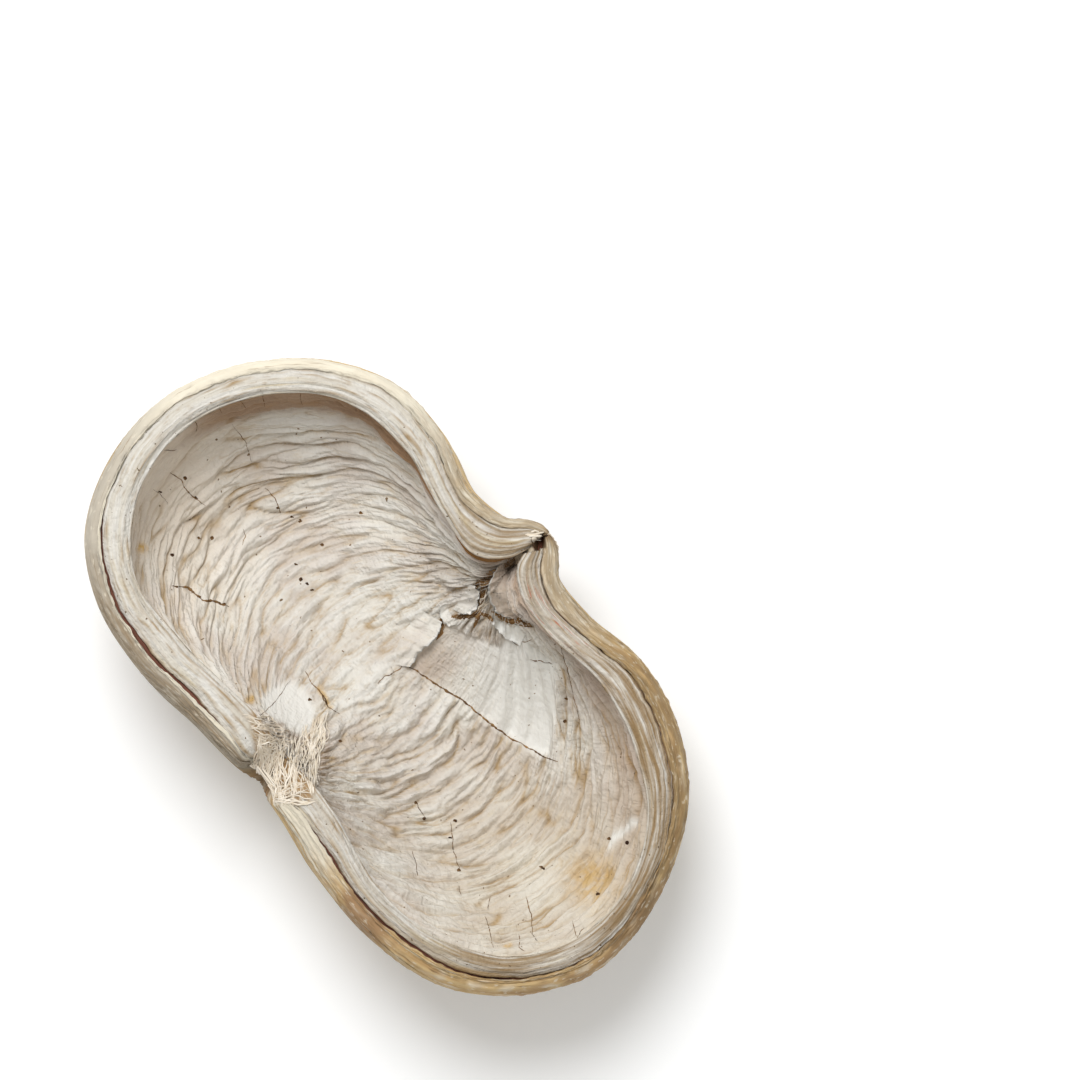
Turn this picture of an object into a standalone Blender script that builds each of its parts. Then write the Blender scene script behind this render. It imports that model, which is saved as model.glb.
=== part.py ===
"""A dried, split seed pod of a wild almond tree, lying on its back with its mouth up.

The pod is a woody follicle that grew as one piece. It opened along one seam, so it is now a
bowl of two round lobes side by side. Its fibres run as meridians from the stalk, over the
lobes, to the tip, and the two edges of the seam are its rim.

Metres, +Z up. +X runs from one lobe to the other, +Y from the tip to the stalk, and the
origin is on the surface that the pod lies on, under the middle of its box.
"""

import math

import bmesh
import bpy
import numpy as np
from mathutils import Matrix, Vector

MM = 0.001

# The rim seen square on, in millimetres, from the stalk round each lobe to the tip. The lip is
# the lining's edge, and the brim is the outer edge of the skin.
LEFT_LIP = (
    (-0.8, 26.2), (-1.9, 22.2), (-5.0, 19.0), (-12.0, 19.1), (-22.0, 21.1), (-32.5, 19.3),
    (-41.0, 11.1), (-44.6, -1.0), (-41.5, -11.9), (-34.0, -18.9), (-22.0, -20.4),
    (-10.0, -19.2), (0.0, -19.0),
)
RIGHT_LIP = (
    (-0.8, 26.2), (0.4, 22.3), (3.8, 20.2), (10.0, 19.6), (20.0, 20.8), (30.0, 18.4),
    (39.0, 12.8), (44.3, 4.0), (44.6, -5.6), (40.5, -14.1), (31.0, -20.1), (21.0, -21.8),
    (10.0, -19.7), (0.0, -19.0),
)
LEFT_BRIM = (
    (-0.6, 28.0), (-5.6, 24.8), (-12.4, 23.1), (-21.0, 25.0), (-30.0, 24.6), (-38.2, 19.8),
    (-45.0, 10.8), (-48.1, 0.0), (-46.3, -10.6), (-40.8, -19.4), (-33.6, -23.4),
    (-24.5, -25.0), (-13.8, -24.3), (-0.5, -23.9),
)
RIGHT_BRIM = (
    (-0.6, 28.0), (5.0, 24.8), (12.0, 24.1), (22.0, 25.6), (31.5, 23.4), (39.3, 18.4),
    (45.2, 9.7), (48.0, 1.5), (48.2, -6.0), (44.6, -14.3), (37.5, -21.3), (27.0, -24.7),
    (16.3, -25.0), (7.0, -23.9), (-0.5, -23.9),
)

# Stations follow the rim evenly. The angle from the stalk grows slowly near both ends, and a
# little faster on the middle of the back than at the rim.
RIM_PACE = 1.55
BACK_PACE = 1.15

# Across a station, each lobe is a bowl with steep sides and a broad floor.
LOBE_SHARE = 0.53
LOBE_BREADTH = 2.3
INSIDE_DEPTH = 25.0 * MM
OUTSIDE_DEPTH = 29.2 * MM
WALL = 4.6 * MM
SADDLE_HEIGHT = 6.0 * MM
SADDLE_REACH = 13.0 * MM

# Where the middle of the back meets the mouth, at the stalk and at the tip.
INSIDE_WAIST = (18.9 * MM, -19.0 * MM)
OUTSIDE_WAIST = (23.2 * MM, -23.9 * MM)
BEAK_ANGLE = math.radians(5)

# The lining is undercut below its lip, and the belly stands out past the brim.
UNDERCUT = 0.9 * MM
BELLY = 1.9 * MM

# At the stalk the seam's two edges turn outwards as a beak, with a cleft between them. Both
# ends drop steeply from the rim, inside and outside.
STALK_DROP = (5.0 * MM, 10.5 * MM)
TIP_DROP = (1.5 * MM, 3.5 * MM)
DROP_RISE = 0.016
DROP_LENGTH = 0.075

# At the tip the rim is torn down to a notch.
NOTCH_PLACE = -0.4 * MM
NOTCH_DEPTH = 5.0 * MM
NOTCH_REACH = 3.6 * MM

# The rim in section, from the lining's lip to the skin's brim: the share of the way across, and
# the height. The low point is the crevice where the skin came away from the fibrous wall.
RIM_SECTION = (
    (0.10, 0.55 * MM),
    (0.28, 0.90 * MM),
    (0.48, 0.70 * MM),
    (0.60, -0.80 * MM),
    (0.72, 0.25 * MM),
    (0.90, 0.15 * MM),
)
RIM_WAVE = 0.55 * MM

# Relief along the fibres: ridges of the skin, and wrinkles of the papery lining.
RIDGE_HEIGHT = 0.50 * MM
WRINKLE_HEIGHT = 0.65 * MM

# Bare fibres stand out of the torn wall at the tip.
FIBRE_HEIGHT = 0.55 * MM
FIBRES_ACROSS = 15
FIBRE_START = 0.84

# The pod lies tipped a little towards its stalk, on a flat worn on each lobe.
REST_TILT = math.radians(8)
FLAT_DEPTH = 0.55 * MM

# The stalk curls down behind the beak and ends in the scar where it left the tree. Each stop is
# how far it is towards the stalk, how high, and its share of the stalk's radius.
STALK_RADIUS = 3.0 * MM
STALK_PATH = (
    (24.4 * MM, -7.2 * MM, 0.80),
    (24.9 * MM, -10.0 * MM, 1.05),
    (25.2 * MM, -13.0 * MM, 0.96),
    (25.3 * MM, -16.0 * MM, 1.00),
    (25.3 * MM, -18.6 * MM, 1.20),
    (25.2 * MM, -19.6 * MM, 1.02),
)

# How many faces: across the inside, across the outside, and from stalk to tip.
INSIDE_STEPS = 62
OUTSIDE_STEPS = 44
LENGTH_STEPS = 46
POLE_CROWDING = 1.25
MERGE_DISTANCE = 0.01 * MM


def bell(distance, reach):
    return np.exp(-((distance / reach) ** 2))


def smooth(value):
    value = np.clip(value, 0.0, 1.0)
    return value * value * (3 - 2 * value)


def line_at(points, share):
    """Where a smooth line through points is, at each share of its length."""
    points = np.array(points) * MM
    gaps = np.linalg.norm(np.diff(points, axis=0), axis=1)
    knots = np.concatenate([[0.0], np.cumsum(gaps)]) / gaps.sum()
    slopes = np.gradient(points, knots, axis=0)
    share = np.clip(share, 0.0, 1.0)
    first = np.clip(np.searchsorted(knots, share, side="right") - 1, 0, len(gaps) - 1)
    width = (knots[first + 1] - knots[first])[..., None]
    step = (share - knots[first])[..., None] / width
    start = points[first] * (1 + 2 * step) * (1 - step) ** 2
    start += slopes[first] * width * step * (1 - step) ** 2
    end = points[first + 1] * step**2 * (3 - 2 * step)
    end += slopes[first + 1] * width * step**2 * (step - 1)
    return start + end


def by_side(across, left, right):
    return np.where((across < 0)[..., None], left, right)


def rim_at(across, along, through):
    lip = by_side(across, line_at(LEFT_LIP, along), line_at(RIGHT_LIP, along))
    brim = by_side(across, line_at(LEFT_BRIM, along), line_at(RIGHT_BRIM, along))
    return lip + (brim - lip) * through[..., None]


def outward(across, along):
    """The level direction square to the brim, away from the mouth."""
    reach = 0.01
    after = by_side(across, line_at(LEFT_BRIM, along + reach), line_at(RIGHT_BRIM, along + reach))
    before = by_side(across, line_at(LEFT_BRIM, along - reach), line_at(RIGHT_BRIM, along - reach))
    run = after - before
    turned = np.stack([run[..., 1], -run[..., 0]], axis=-1)
    turned = by_side(across, turned, -turned)
    return turned / np.linalg.norm(turned, axis=-1, keepdims=True)


def angle_from_stalk(along, pace):
    half = 2 * along
    near_stalk = math.pi / 2 * np.minimum(half, 1) ** pace
    near_tip = math.pi / 2 * np.minimum(2 - half, 1) ** pace
    return np.where(half <= 1, near_stalk, math.pi - near_tip)


def lobe_reach(share):
    flared = np.tanh(LOBE_BREADTH * share) / math.tanh(LOBE_BREADTH)
    return LOBE_SHARE * flared + (1 - LOBE_SHARE) * share


def wall_at(across, along, through):
    """Points of the wall, with the mouth level at height 0.

    across is the meridian's angle, from a quarter turn below 0 at the left rim, by 0 on the
    middle of the back, to a quarter turn at the right rim. along runs from 0 at the stalk to 1
    at the tip, and through from 0 on the lining to 1 on the skin.
    """
    across, along, through = np.broadcast_arrays(across, along, np.float64(through))
    side = np.maximum(np.sin(angle_from_stalk(along, RIM_PACE)), 1e-6)
    angle = angle_from_stalk(along, BACK_PACE)
    down = np.cos(across) * np.sin(angle)

    waist_stalk = INSIDE_WAIST[0] + (OUTSIDE_WAIST[0] - INSIDE_WAIST[0]) * through
    waist_tip = INSIDE_WAIST[1] + (OUTSIDE_WAIST[1] - INSIDE_WAIST[1]) * through
    pole_stalk = rim_at(across, np.zeros_like(along), through)
    pole_tip = rim_at(across, np.ones_like(along), through)
    beak = bell(angle, BEAK_ANGLE)
    tip = bell(math.pi - angle, BEAK_ANGLE)
    back_x = pole_stalk[..., 0] * beak + pole_tip[..., 0] * tip
    back_y = (waist_stalk + waist_tip) / 2 + (waist_stalk - waist_tip) / 2 * np.cos(angle)
    back_y = back_y + (pole_stalk[..., 1] - waist_stalk) * beak
    back_y = back_y + (pole_tip[..., 1] - waist_tip) * tip
    back = np.stack([back_x, back_y], axis=-1)

    share = lobe_reach(np.abs(np.sin(across)) * side) / lobe_reach(side)
    plan = back + (rim_at(across, along, through) - back) * share[..., None]
    swell = (UNDERCUT + (BELLY - UNDERCUT) * through) * np.sin(math.pi * np.sqrt(down))
    plan = plan + outward(across, along) * (swell * smooth(np.abs(np.sin(across))))[..., None]

    depth = INSIDE_DEPTH + (OUTSIDE_DEPTH - INSIDE_DEPTH) * through
    height = -depth * down + SADDLE_HEIGHT * bell(plan[..., 0], SADDLE_REACH) * down**2
    near_rim = (1 - down) ** 2
    waves = np.sin(7 * along + 1.1) + 0.5 * np.sin(17 * along + 2 * np.sign(across))
    height = height + RIM_WAVE * waves * near_rim * smooth(2 * side)
    for gone, drop in ((along, STALK_DROP), (1 - along, TIP_DROP)):
        steep = smooth(gone / DROP_RISE) * bell(gone, DROP_LENGTH) * np.cos(across)
        height = height - (drop[0] + (drop[1] - drop[0]) * through) * steep
    notch = bell(plan[..., 0] - NOTCH_PLACE, NOTCH_REACH) * (along >= 0.5)
    height = height - NOTCH_DEPTH * notch * near_rim
    return np.concatenate([plan, height[..., None]], axis=-1)


def ridges(across, along):
    """Height of the skin's ridges, which are worn down under the pod."""
    turn = 2 * math.pi * along
    waves = np.cos(19 * across + 0.9 * np.cos(turn / 2))
    waves = waves + 0.7 * np.cos(31 * across - 0.8 * np.sin(turn) + 0.8)
    waves = waves + 0.5 * np.cos(9 * across + 1.4 * np.sin(turn + 1.0))
    worn = smooth(3.5 * np.cos(across) * np.sin(math.pi * along) - 2.2)
    return RIDGE_HEIGHT / 2 * waves * (1 - worn)


def wrinkles(across, along):
    """Height of the lining's wrinkles, which fade towards the lip."""
    turn = 2 * math.pi * along
    waves = np.cos(23 * across + 1.0 * np.sin(turn / 2) + 0.5)
    waves = waves + 0.7 * np.cos(35 * across + 1.2 * np.cos(turn))
    waves = waves + 0.5 * np.cos(14 * across - 1.5 * np.cos(turn / 2))
    clear_of_lip = smooth((math.pi / 2 - np.abs(across)) * 4)
    bare = smooth((along - FIBRE_START) / (1 - FIBRE_START) * 2)
    fibres = np.cos(2 * FIBRES_ACROSS * across) * bare
    return (WRINKLE_HEIGHT / 2 * waves * (1 - bare) + FIBRE_HEIGHT / 2 * fibres) * clear_of_lip


def section_stops():
    """One section through the wall, all the way round: its across, through and rise."""
    quarter = math.pi / 2
    stops = [(angle, 0.0, 0.0) for angle in np.linspace(-quarter, quarter, INSIDE_STEPS + 1)]
    stops += [(quarter, through, rise) for through, rise in RIM_SECTION]
    stops += [(angle, 1.0, 0.0) for angle in np.linspace(quarter, -quarter, OUTSIDE_STEPS + 1)]
    stops += [(-quarter, through, rise) for through, rise in reversed(RIM_SECTION)]
    return np.array(stops).T


def length_stations():
    """Shares of the way from stalk to tip, closer together at both ends."""
    half = np.linspace(0, 2, LENGTH_STEPS + 1)
    near_stalk = np.minimum(half, 1) ** POLE_CROWDING / 2
    near_tip = 1 - np.minimum(2 - half, 1) ** POLE_CROWDING / 2
    return np.where(half <= 1, near_stalk, near_tip)


def make_wall():
    """The whole wall: a loft of closed sections that shrink to a line at both poles."""
    across, through, rise = section_stops()
    along = length_stations()[:, None]
    fade = smooth(5 * np.sin(math.pi * along))
    relief = np.where(through == 0, -wrinkles(across, along), 0)
    relief = np.where(through == 1, ridges(across, along), relief)
    points = wall_at(across[None, :], along, through[None, :] + relief * fade / WALL)
    points[..., 2] += rise * smooth(8 * np.sin(math.pi * along))

    rows, columns = points.shape[:2]
    faces = []
    for row in range(rows - 1):
        for column in range(columns):
            beside = (column + 1) % columns
            below = row * columns
            above = below + columns
            faces.append((below + column, below + beside, above + beside, above + column))
    data = bpy.data.meshes.new("pod")
    data.from_pydata(points.reshape(-1, 3).tolist(), [], faces)
    tidy_mesh(data)
    return bpy.data.objects.new("pod", data)


def tidy_mesh(data):
    """Merges points that coincide, and turns all faces outwards."""
    mesh = bmesh.new()
    mesh.from_mesh(data)
    bmesh.ops.remove_doubles(mesh, verts=mesh.verts, dist=MERGE_DISTANCE)
    bmesh.ops.dissolve_degenerate(mesh, dist=MERGE_DISTANCE, edges=mesh.edges)
    bmesh.ops.triangulate(mesh, faces=mesh.faces)
    bmesh.ops.recalc_face_normals(mesh, faces=mesh.faces)
    mesh.to_mesh(data)
    mesh.free()


def tube(name, stops, radius, roundness):
    """A closed round rod along stops, each a place and its share of the radius."""
    curve = bpy.data.curves.new(name, "CURVE")
    curve.dimensions = "3D"
    curve.bevel_depth = radius
    curve.bevel_resolution = roundness
    curve.use_fill_caps = True
    spline = curve.splines.new("POLY")
    spline.points.add(len(stops) - 1)
    for target, (place, share) in zip(spline.points, stops):
        target.co = (*place, 1)
        target.radius = share
    drawn = bpy.data.objects.new(name + "_line", curve)
    bpy.context.scene.collection.objects.link(drawn)
    graph = bpy.context.evaluated_depsgraph_get()
    data = bpy.data.meshes.new_from_object(drawn.evaluated_get(graph))
    bpy.data.objects.remove(drawn)
    tidy_mesh(data)
    return bpy.data.objects.new(name, data)


def make_stalk():
    stops = [(Vector((0, y, z)), share) for y, z, share in STALK_PATH]
    return tube("stalk", stops, STALK_RADIUS, 2)


def fuse(base, collection):
    """Joins everything in the collection into base, and removes what was joined."""
    union = base.modifiers.new("fuse", "BOOLEAN")
    union.operation = "UNION"
    union.operand_type = "COLLECTION"
    union.collection = collection
    union.solver = "EXACT"
    graph = bpy.context.evaluated_depsgraph_get()
    fused = bpy.data.meshes.new_from_object(base.evaluated_get(graph))
    base.modifiers.clear()
    base.data = fused
    for piece in list(collection.objects):
        bpy.data.objects.remove(piece)
    bpy.data.collections.remove(collection)


def set_down(pod):
    """Tips the pod, flattens what it lies on, and puts the origin under the middle of its box."""
    pod.data.transform(Matrix.Rotation(-REST_TILT, 4, "X"))
    corners = [vertex.co for vertex in pod.data.vertices]
    floor = min(corner.z for corner in corners) + FLAT_DEPTH
    middle_x = (min(c.x for c in corners) + max(c.x for c in corners)) / 2
    middle_y = (min(c.y for c in corners) + max(c.y for c in corners)) / 2
    for corner in corners:
        corner.x -= middle_x
        corner.y -= middle_y
        corner.z = max(0.0, corner.z - floor)


def husk_material():
    material = bpy.data.materials.new("bleached_husk")
    material.use_nodes = True
    shader = material.node_tree.nodes["Principled BSDF"]
    shader.inputs["Base Color"].default_value = (0.71, 0.62, 0.48, 1)
    shader.inputs["Roughness"].default_value = 0.85
    shader.inputs["Metallic"].default_value = 0.0
    return material


def main():
    for old in list(bpy.data.objects):
        bpy.data.objects.remove(old)
    part = bpy.data.collections.new("badam_pod")
    grown_on = bpy.data.collections.new("grown_on")
    bpy.context.scene.collection.children.link(part)
    bpy.context.scene.collection.children.link(grown_on)

    pod = make_wall()
    part.objects.link(pod)
    grown_on.objects.link(make_stalk())
    fuse(pod, grown_on)
    set_down(pod)
    pod.data.materials.clear()
    pod.data.materials.append(husk_material())
    pod.data.shade_smooth()


main()
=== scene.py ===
# %% [markdown]
# # A bleached wild almond pod, opened like two small bowls
#
# The pod is a dried fruit: a woody wall with a papery lining inside and a thin skin outside.
# The CAD part already has its shape in a few thousand faces. This lesson dresses that part in
# finer layers, each grown from the same named values, so that they all fit one another.

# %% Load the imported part
import math

import bmesh
import bpy
import numpy as np
from mathutils import Matrix, Vector
from mathutils.bvhtree import BVHTree


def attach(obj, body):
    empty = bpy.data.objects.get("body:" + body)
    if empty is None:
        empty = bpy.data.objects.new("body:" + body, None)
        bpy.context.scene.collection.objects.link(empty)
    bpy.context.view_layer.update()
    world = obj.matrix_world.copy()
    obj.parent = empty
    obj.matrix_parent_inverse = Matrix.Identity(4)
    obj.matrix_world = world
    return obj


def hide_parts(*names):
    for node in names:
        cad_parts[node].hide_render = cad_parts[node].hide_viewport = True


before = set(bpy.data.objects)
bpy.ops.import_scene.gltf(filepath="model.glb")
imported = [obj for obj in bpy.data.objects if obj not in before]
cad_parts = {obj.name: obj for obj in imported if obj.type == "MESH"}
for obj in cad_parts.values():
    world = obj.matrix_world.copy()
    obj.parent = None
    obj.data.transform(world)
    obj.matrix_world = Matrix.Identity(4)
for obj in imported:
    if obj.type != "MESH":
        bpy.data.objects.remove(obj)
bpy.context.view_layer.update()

MM = 0.001


def put(name, data):
    """A new object in the scene."""
    made = bpy.data.objects.new(name, data)
    bpy.context.scene.collection.objects.link(made)
    return made


# %% [markdown]
# ## The pod's own coordinates
#
# Fibres grow from the stalk, round the lobes, to the tip, like meridians on a globe. So every
# point of the pod is named by three numbers. `across` says which meridian it is on, from the
# left rim by the middle of the back to the right rim. `along` says how far it is from stalk to
# tip, and `through` how deep it is in the wall, from 0 on the lining to 1 on the skin. A sculpted
# mesh would have to be matched by eye. A formula gives all layers at any fineness.

# %% The rim's two outlines
# Millimetres from the middle, each line from stalk to tip: the lip inside, the brim outside.
LEFT_LIP = (
    (-0.8, 26.2), (-1.9, 22.2), (-5.0, 19.0), (-12.0, 19.1), (-22.0, 21.1), (-32.5, 19.3),
    (-41.0, 11.1), (-44.6, -1.0), (-41.5, -11.9), (-34.0, -18.9), (-22.0, -20.4),
    (-10.0, -19.2), (0.0, -19.0),
)
RIGHT_LIP = (
    (-0.8, 26.2), (0.4, 22.3), (3.8, 20.2), (10.0, 19.6), (20.0, 20.8), (30.0, 18.4),
    (39.0, 12.8), (44.3, 4.0), (44.6, -5.6), (40.5, -14.1), (31.0, -20.1), (21.0, -21.8),
    (10.0, -19.7), (0.0, -19.0),
)
LEFT_BRIM = (
    (-0.6, 28.0), (-5.6, 24.8), (-12.4, 23.1), (-21.0, 25.0), (-30.0, 24.6), (-38.2, 19.8),
    (-45.0, 10.8), (-48.1, 0.0), (-46.3, -10.6), (-40.8, -19.4), (-33.6, -23.4),
    (-24.5, -25.0), (-13.8, -24.3), (-0.5, -23.9),
)
RIGHT_BRIM = (
    (-0.6, 28.0), (5.0, 24.8), (12.0, 24.1), (22.0, 25.6), (31.5, 23.4), (39.3, 18.4),
    (45.2, 9.7), (48.0, 1.5), (48.2, -6.0), (44.6, -14.3), (37.5, -21.3), (27.0, -24.7),
    (16.3, -25.0), (7.0, -23.9), (-0.5, -23.9),
)
QUARTER = math.pi / 2


def bell(distance, reach):
    return np.exp(-((distance / reach) ** 2))


def smooth(value):
    value = np.clip(value, 0.0, 1.0)
    return value * value * (3 - 2 * value)


def ramp(value, start, end):
    """0 up to start, 1 from end on and smooth between. The end may be the lower of the two."""
    return smooth((value - start) / (end - start))


def run_along(points):
    """How far along a line of corners each of them is."""
    return np.concatenate([[0.0], np.cumsum(np.linalg.norm(np.diff(points, axis=0), axis=1))])


def line_at(points, share):
    """Where a smooth line through points is, at each share of its length."""
    points = np.array(points) * MM
    gaps = np.linalg.norm(np.diff(points, axis=0), axis=1)
    knots = np.concatenate([[0.0], np.cumsum(gaps)]) / gaps.sum()
    slopes = np.gradient(points, knots, axis=0)
    share = np.clip(share, 0.0, 1.0)
    first = np.clip(np.searchsorted(knots, share, side="right") - 1, 0, len(gaps) - 1)
    width = (knots[first + 1] - knots[first])[..., None]
    step = (share - knots[first])[..., None] / width
    start = points[first] * (1 + 2 * step) * (1 - step) ** 2
    start += slopes[first] * width * step * (1 - step) ** 2
    end = points[first + 1] * step**2 * (3 - 2 * step)
    end += slopes[first + 1] * width * step**2 * (step - 1)
    return start + end


def by_side(across, left, right):
    return np.where((across < 0)[..., None], left, right)


def rim_at(across, along, through):
    lip = by_side(across, line_at(LEFT_LIP, along), line_at(RIGHT_LIP, along))
    brim = by_side(across, line_at(LEFT_BRIM, along), line_at(RIGHT_BRIM, along))
    return lip + (brim - lip) * through[..., None]


def outward(across, along):
    """The level direction square to the brim, away from the mouth."""
    reach = 0.01
    after = by_side(across, line_at(LEFT_BRIM, along + reach), line_at(RIGHT_BRIM, along + reach))
    before = by_side(across, line_at(LEFT_BRIM, along - reach), line_at(RIGHT_BRIM, along - reach))
    run = after - before
    turned = np.stack([run[..., 1], -run[..., 0]], axis=-1)
    turned = by_side(across, turned, -turned)
    return turned / np.linalg.norm(turned, axis=-1, keepdims=True)


# %% [markdown]
# ## The wall
#
# Each lobe is a bowl with steep sides and a broad floor, and the two bowls meet in a low saddle.
# At the stalk the rim turns outwards as a beak, and at the tip it is torn down to a notch.

# %% A point of the wall
# How slowly the section opens from stalk and tip, at the rim and on the back.
RIM_PACE = 1.55
BACK_PACE = 1.15
# How much of the section has a broad floor and steep sides, and how broad that floor is.
LOBE_SHARE = 0.53
LOBE_BREADTH = 2.3
INSIDE_DEPTH = 25.0 * MM
OUTSIDE_DEPTH = 29.2 * MM
WALL = 4.6 * MM
SADDLE_HEIGHT = 6.0 * MM
SADDLE_REACH = 13.0 * MM
INSIDE_WAIST = (18.9 * MM, -19.0 * MM)
OUTSIDE_WAIST = (23.2 * MM, -23.9 * MM)
BEAK_ANGLE = math.radians(5)
UNDERCUT = 0.9 * MM
BELLY = 1.9 * MM
# How far the wall drops behind the rim at stalk and tip, on its inside and its outside.
STALK_DROP = (5.0 * MM, 10.5 * MM)
TIP_DROP = (1.5 * MM, 3.5 * MM)
DROP_RISE = 0.016
DROP_LENGTH = 0.075
NOTCH_PLACE = -0.4 * MM
NOTCH_DEPTH = 5.0 * MM
NOTCH_REACH = 3.6 * MM
RIM_WAVE = 0.55 * MM
REST_TILT = math.radians(8)
SET_DOWN = np.array((-0.174, -0.123, 27.023)) * MM


def angle_from_stalk(along, pace):
    half = 2 * along
    near_stalk = QUARTER * np.minimum(half, 1) ** pace
    near_tip = QUARTER * np.minimum(2 - half, 1) ** pace
    return np.where(half <= 1, near_stalk, math.pi - near_tip)


def lobe_reach(share):
    flared = np.tanh(LOBE_BREADTH * share) / math.tanh(LOBE_BREADTH)
    return LOBE_SHARE * flared + (1 - LOBE_SHARE) * share


def wall_at(across, along, through, rise=0.0):
    """Points of the wall where the pod lies, each raised by rise while its mouth was level."""
    across, along, through = np.broadcast_arrays(across, along, np.float64(through))
    side = np.maximum(np.sin(angle_from_stalk(along, RIM_PACE)), 1e-6)
    angle = angle_from_stalk(along, BACK_PACE)
    down = np.cos(across) * np.sin(angle)

    waist_stalk = INSIDE_WAIST[0] + (OUTSIDE_WAIST[0] - INSIDE_WAIST[0]) * through
    waist_tip = INSIDE_WAIST[1] + (OUTSIDE_WAIST[1] - INSIDE_WAIST[1]) * through
    pole_stalk = rim_at(across, np.zeros_like(along), through)
    pole_tip = rim_at(across, np.ones_like(along), through)
    beak = bell(angle, BEAK_ANGLE)
    tip = bell(math.pi - angle, BEAK_ANGLE)
    back_x = pole_stalk[..., 0] * beak + pole_tip[..., 0] * tip
    back_y = (waist_stalk + waist_tip) / 2 + (waist_stalk - waist_tip) / 2 * np.cos(angle)
    back_y = back_y + (pole_stalk[..., 1] - waist_stalk) * beak
    back_y = back_y + (pole_tip[..., 1] - waist_tip) * tip
    back = np.stack([back_x, back_y], axis=-1)

    share = lobe_reach(np.abs(np.sin(across)) * side) / lobe_reach(side)
    plan = back + (rim_at(across, along, through) - back) * share[..., None]
    swell = (UNDERCUT + (BELLY - UNDERCUT) * through) * np.sin(math.pi * np.sqrt(np.abs(down)))
    plan = plan + outward(across, along) * (swell * smooth(np.abs(np.sin(across))))[..., None]

    depth = INSIDE_DEPTH + (OUTSIDE_DEPTH - INSIDE_DEPTH) * through
    height = -depth * down + SADDLE_HEIGHT * bell(plan[..., 0], SADDLE_REACH) * down**2
    near_rim = (1 - down) ** 2
    # A long swing of the rim, and a short one that is out of step on its two sides.
    swing = np.sin(7 * along + 1.1) + 0.5 * np.sin(17 * along + 2 * np.sign(across))
    height = height + RIM_WAVE * swing * near_rim * smooth(2 * side)
    for gone, drop in ((along, STALK_DROP), (1 - along, TIP_DROP)):
        steep = smooth(gone / DROP_RISE) * bell(gone, DROP_LENGTH) * np.cos(across)
        height = height - (drop[0] + (drop[1] - drop[0]) * through) * steep
    notch = bell(plan[..., 0] - NOTCH_PLACE, NOTCH_REACH) * (along >= 0.5)
    height = height - NOTCH_DEPTH * notch * near_rim + rise
    return settle(np.concatenate([plan, height[..., None]], axis=-1))


def settle(points):
    """Takes points from the level mouth to where the pod lies, tipped towards its stalk."""
    turn = np.array(Matrix.Rotation(-REST_TILT, 3, "X"))
    lying = points @ turn.T + SET_DOWN
    lying[..., 2] = np.maximum(lying[..., 2], 0.0)
    return lying


print("lining's lowest point, mm:", wall_at(np.array([0.7]), np.array([0.5]), 0.0)[0, 2] / MM)

# %% [markdown]
# ## Relief and meshes
#
# Dried tissue wrinkles without any pattern, so its relief comes from smooth random waves. They
# are stretched along the fibres by giving them a much longer scale in that direction. The numbers
# are drawn from fixed seeds, so that every run grows the same pod. A texture's bump alone would
# look flat at the edges, so the relief moves real points of a fine grid.

# %% Smooth random waves
NOISE_CELLS = 256


def waves(u, v, seed):
    """Random waves about one unit apart over u and v, from about -1 to 1."""
    turns = np.random.default_rng(seed).uniform(0, 2 * math.pi, (NOISE_CELLS, NOISE_CELLS))
    u, v = np.broadcast_arrays(np.asarray(u, float), np.asarray(v, float))
    column = np.floor(u).astype(int)
    row = np.floor(v).astype(int)
    total = np.zeros(u.shape)
    for right in (0, 1):
        for up in (0, 1):
            turn = turns[(column + right) % NOISE_CELLS, (row + up) % NOISE_CELLS]
            du = u - column - right
            dv = v - row - up
            lean = np.cos(turn) * du + np.sin(turn) * dv
            total += lean * smooth(1 - np.abs(du)) * smooth(1 - np.abs(dv))
    return total * 1.5


def square_to(points):
    """The direction square to a grid of points, at each of them."""
    ahead = np.gradient(points, axis=0)
    beside = np.gradient(points, axis=1)
    normal = np.cross(ahead, beside)
    length = np.linalg.norm(normal, axis=-1, keepdims=True)
    return normal / np.maximum(length, 1e-15)


# %% From grids of points to a piece of the pod
WELD = 0.002 * MM
SHEET_MARGIN = 0.02


def fibre_grain(across_mm, along_mm):
    """Each point's place across and along its fibres, as the materials' grain wants it."""
    return np.stack(np.broadcast_arrays(across_mm, along_mm, 0.0), axis=-1)


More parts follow.
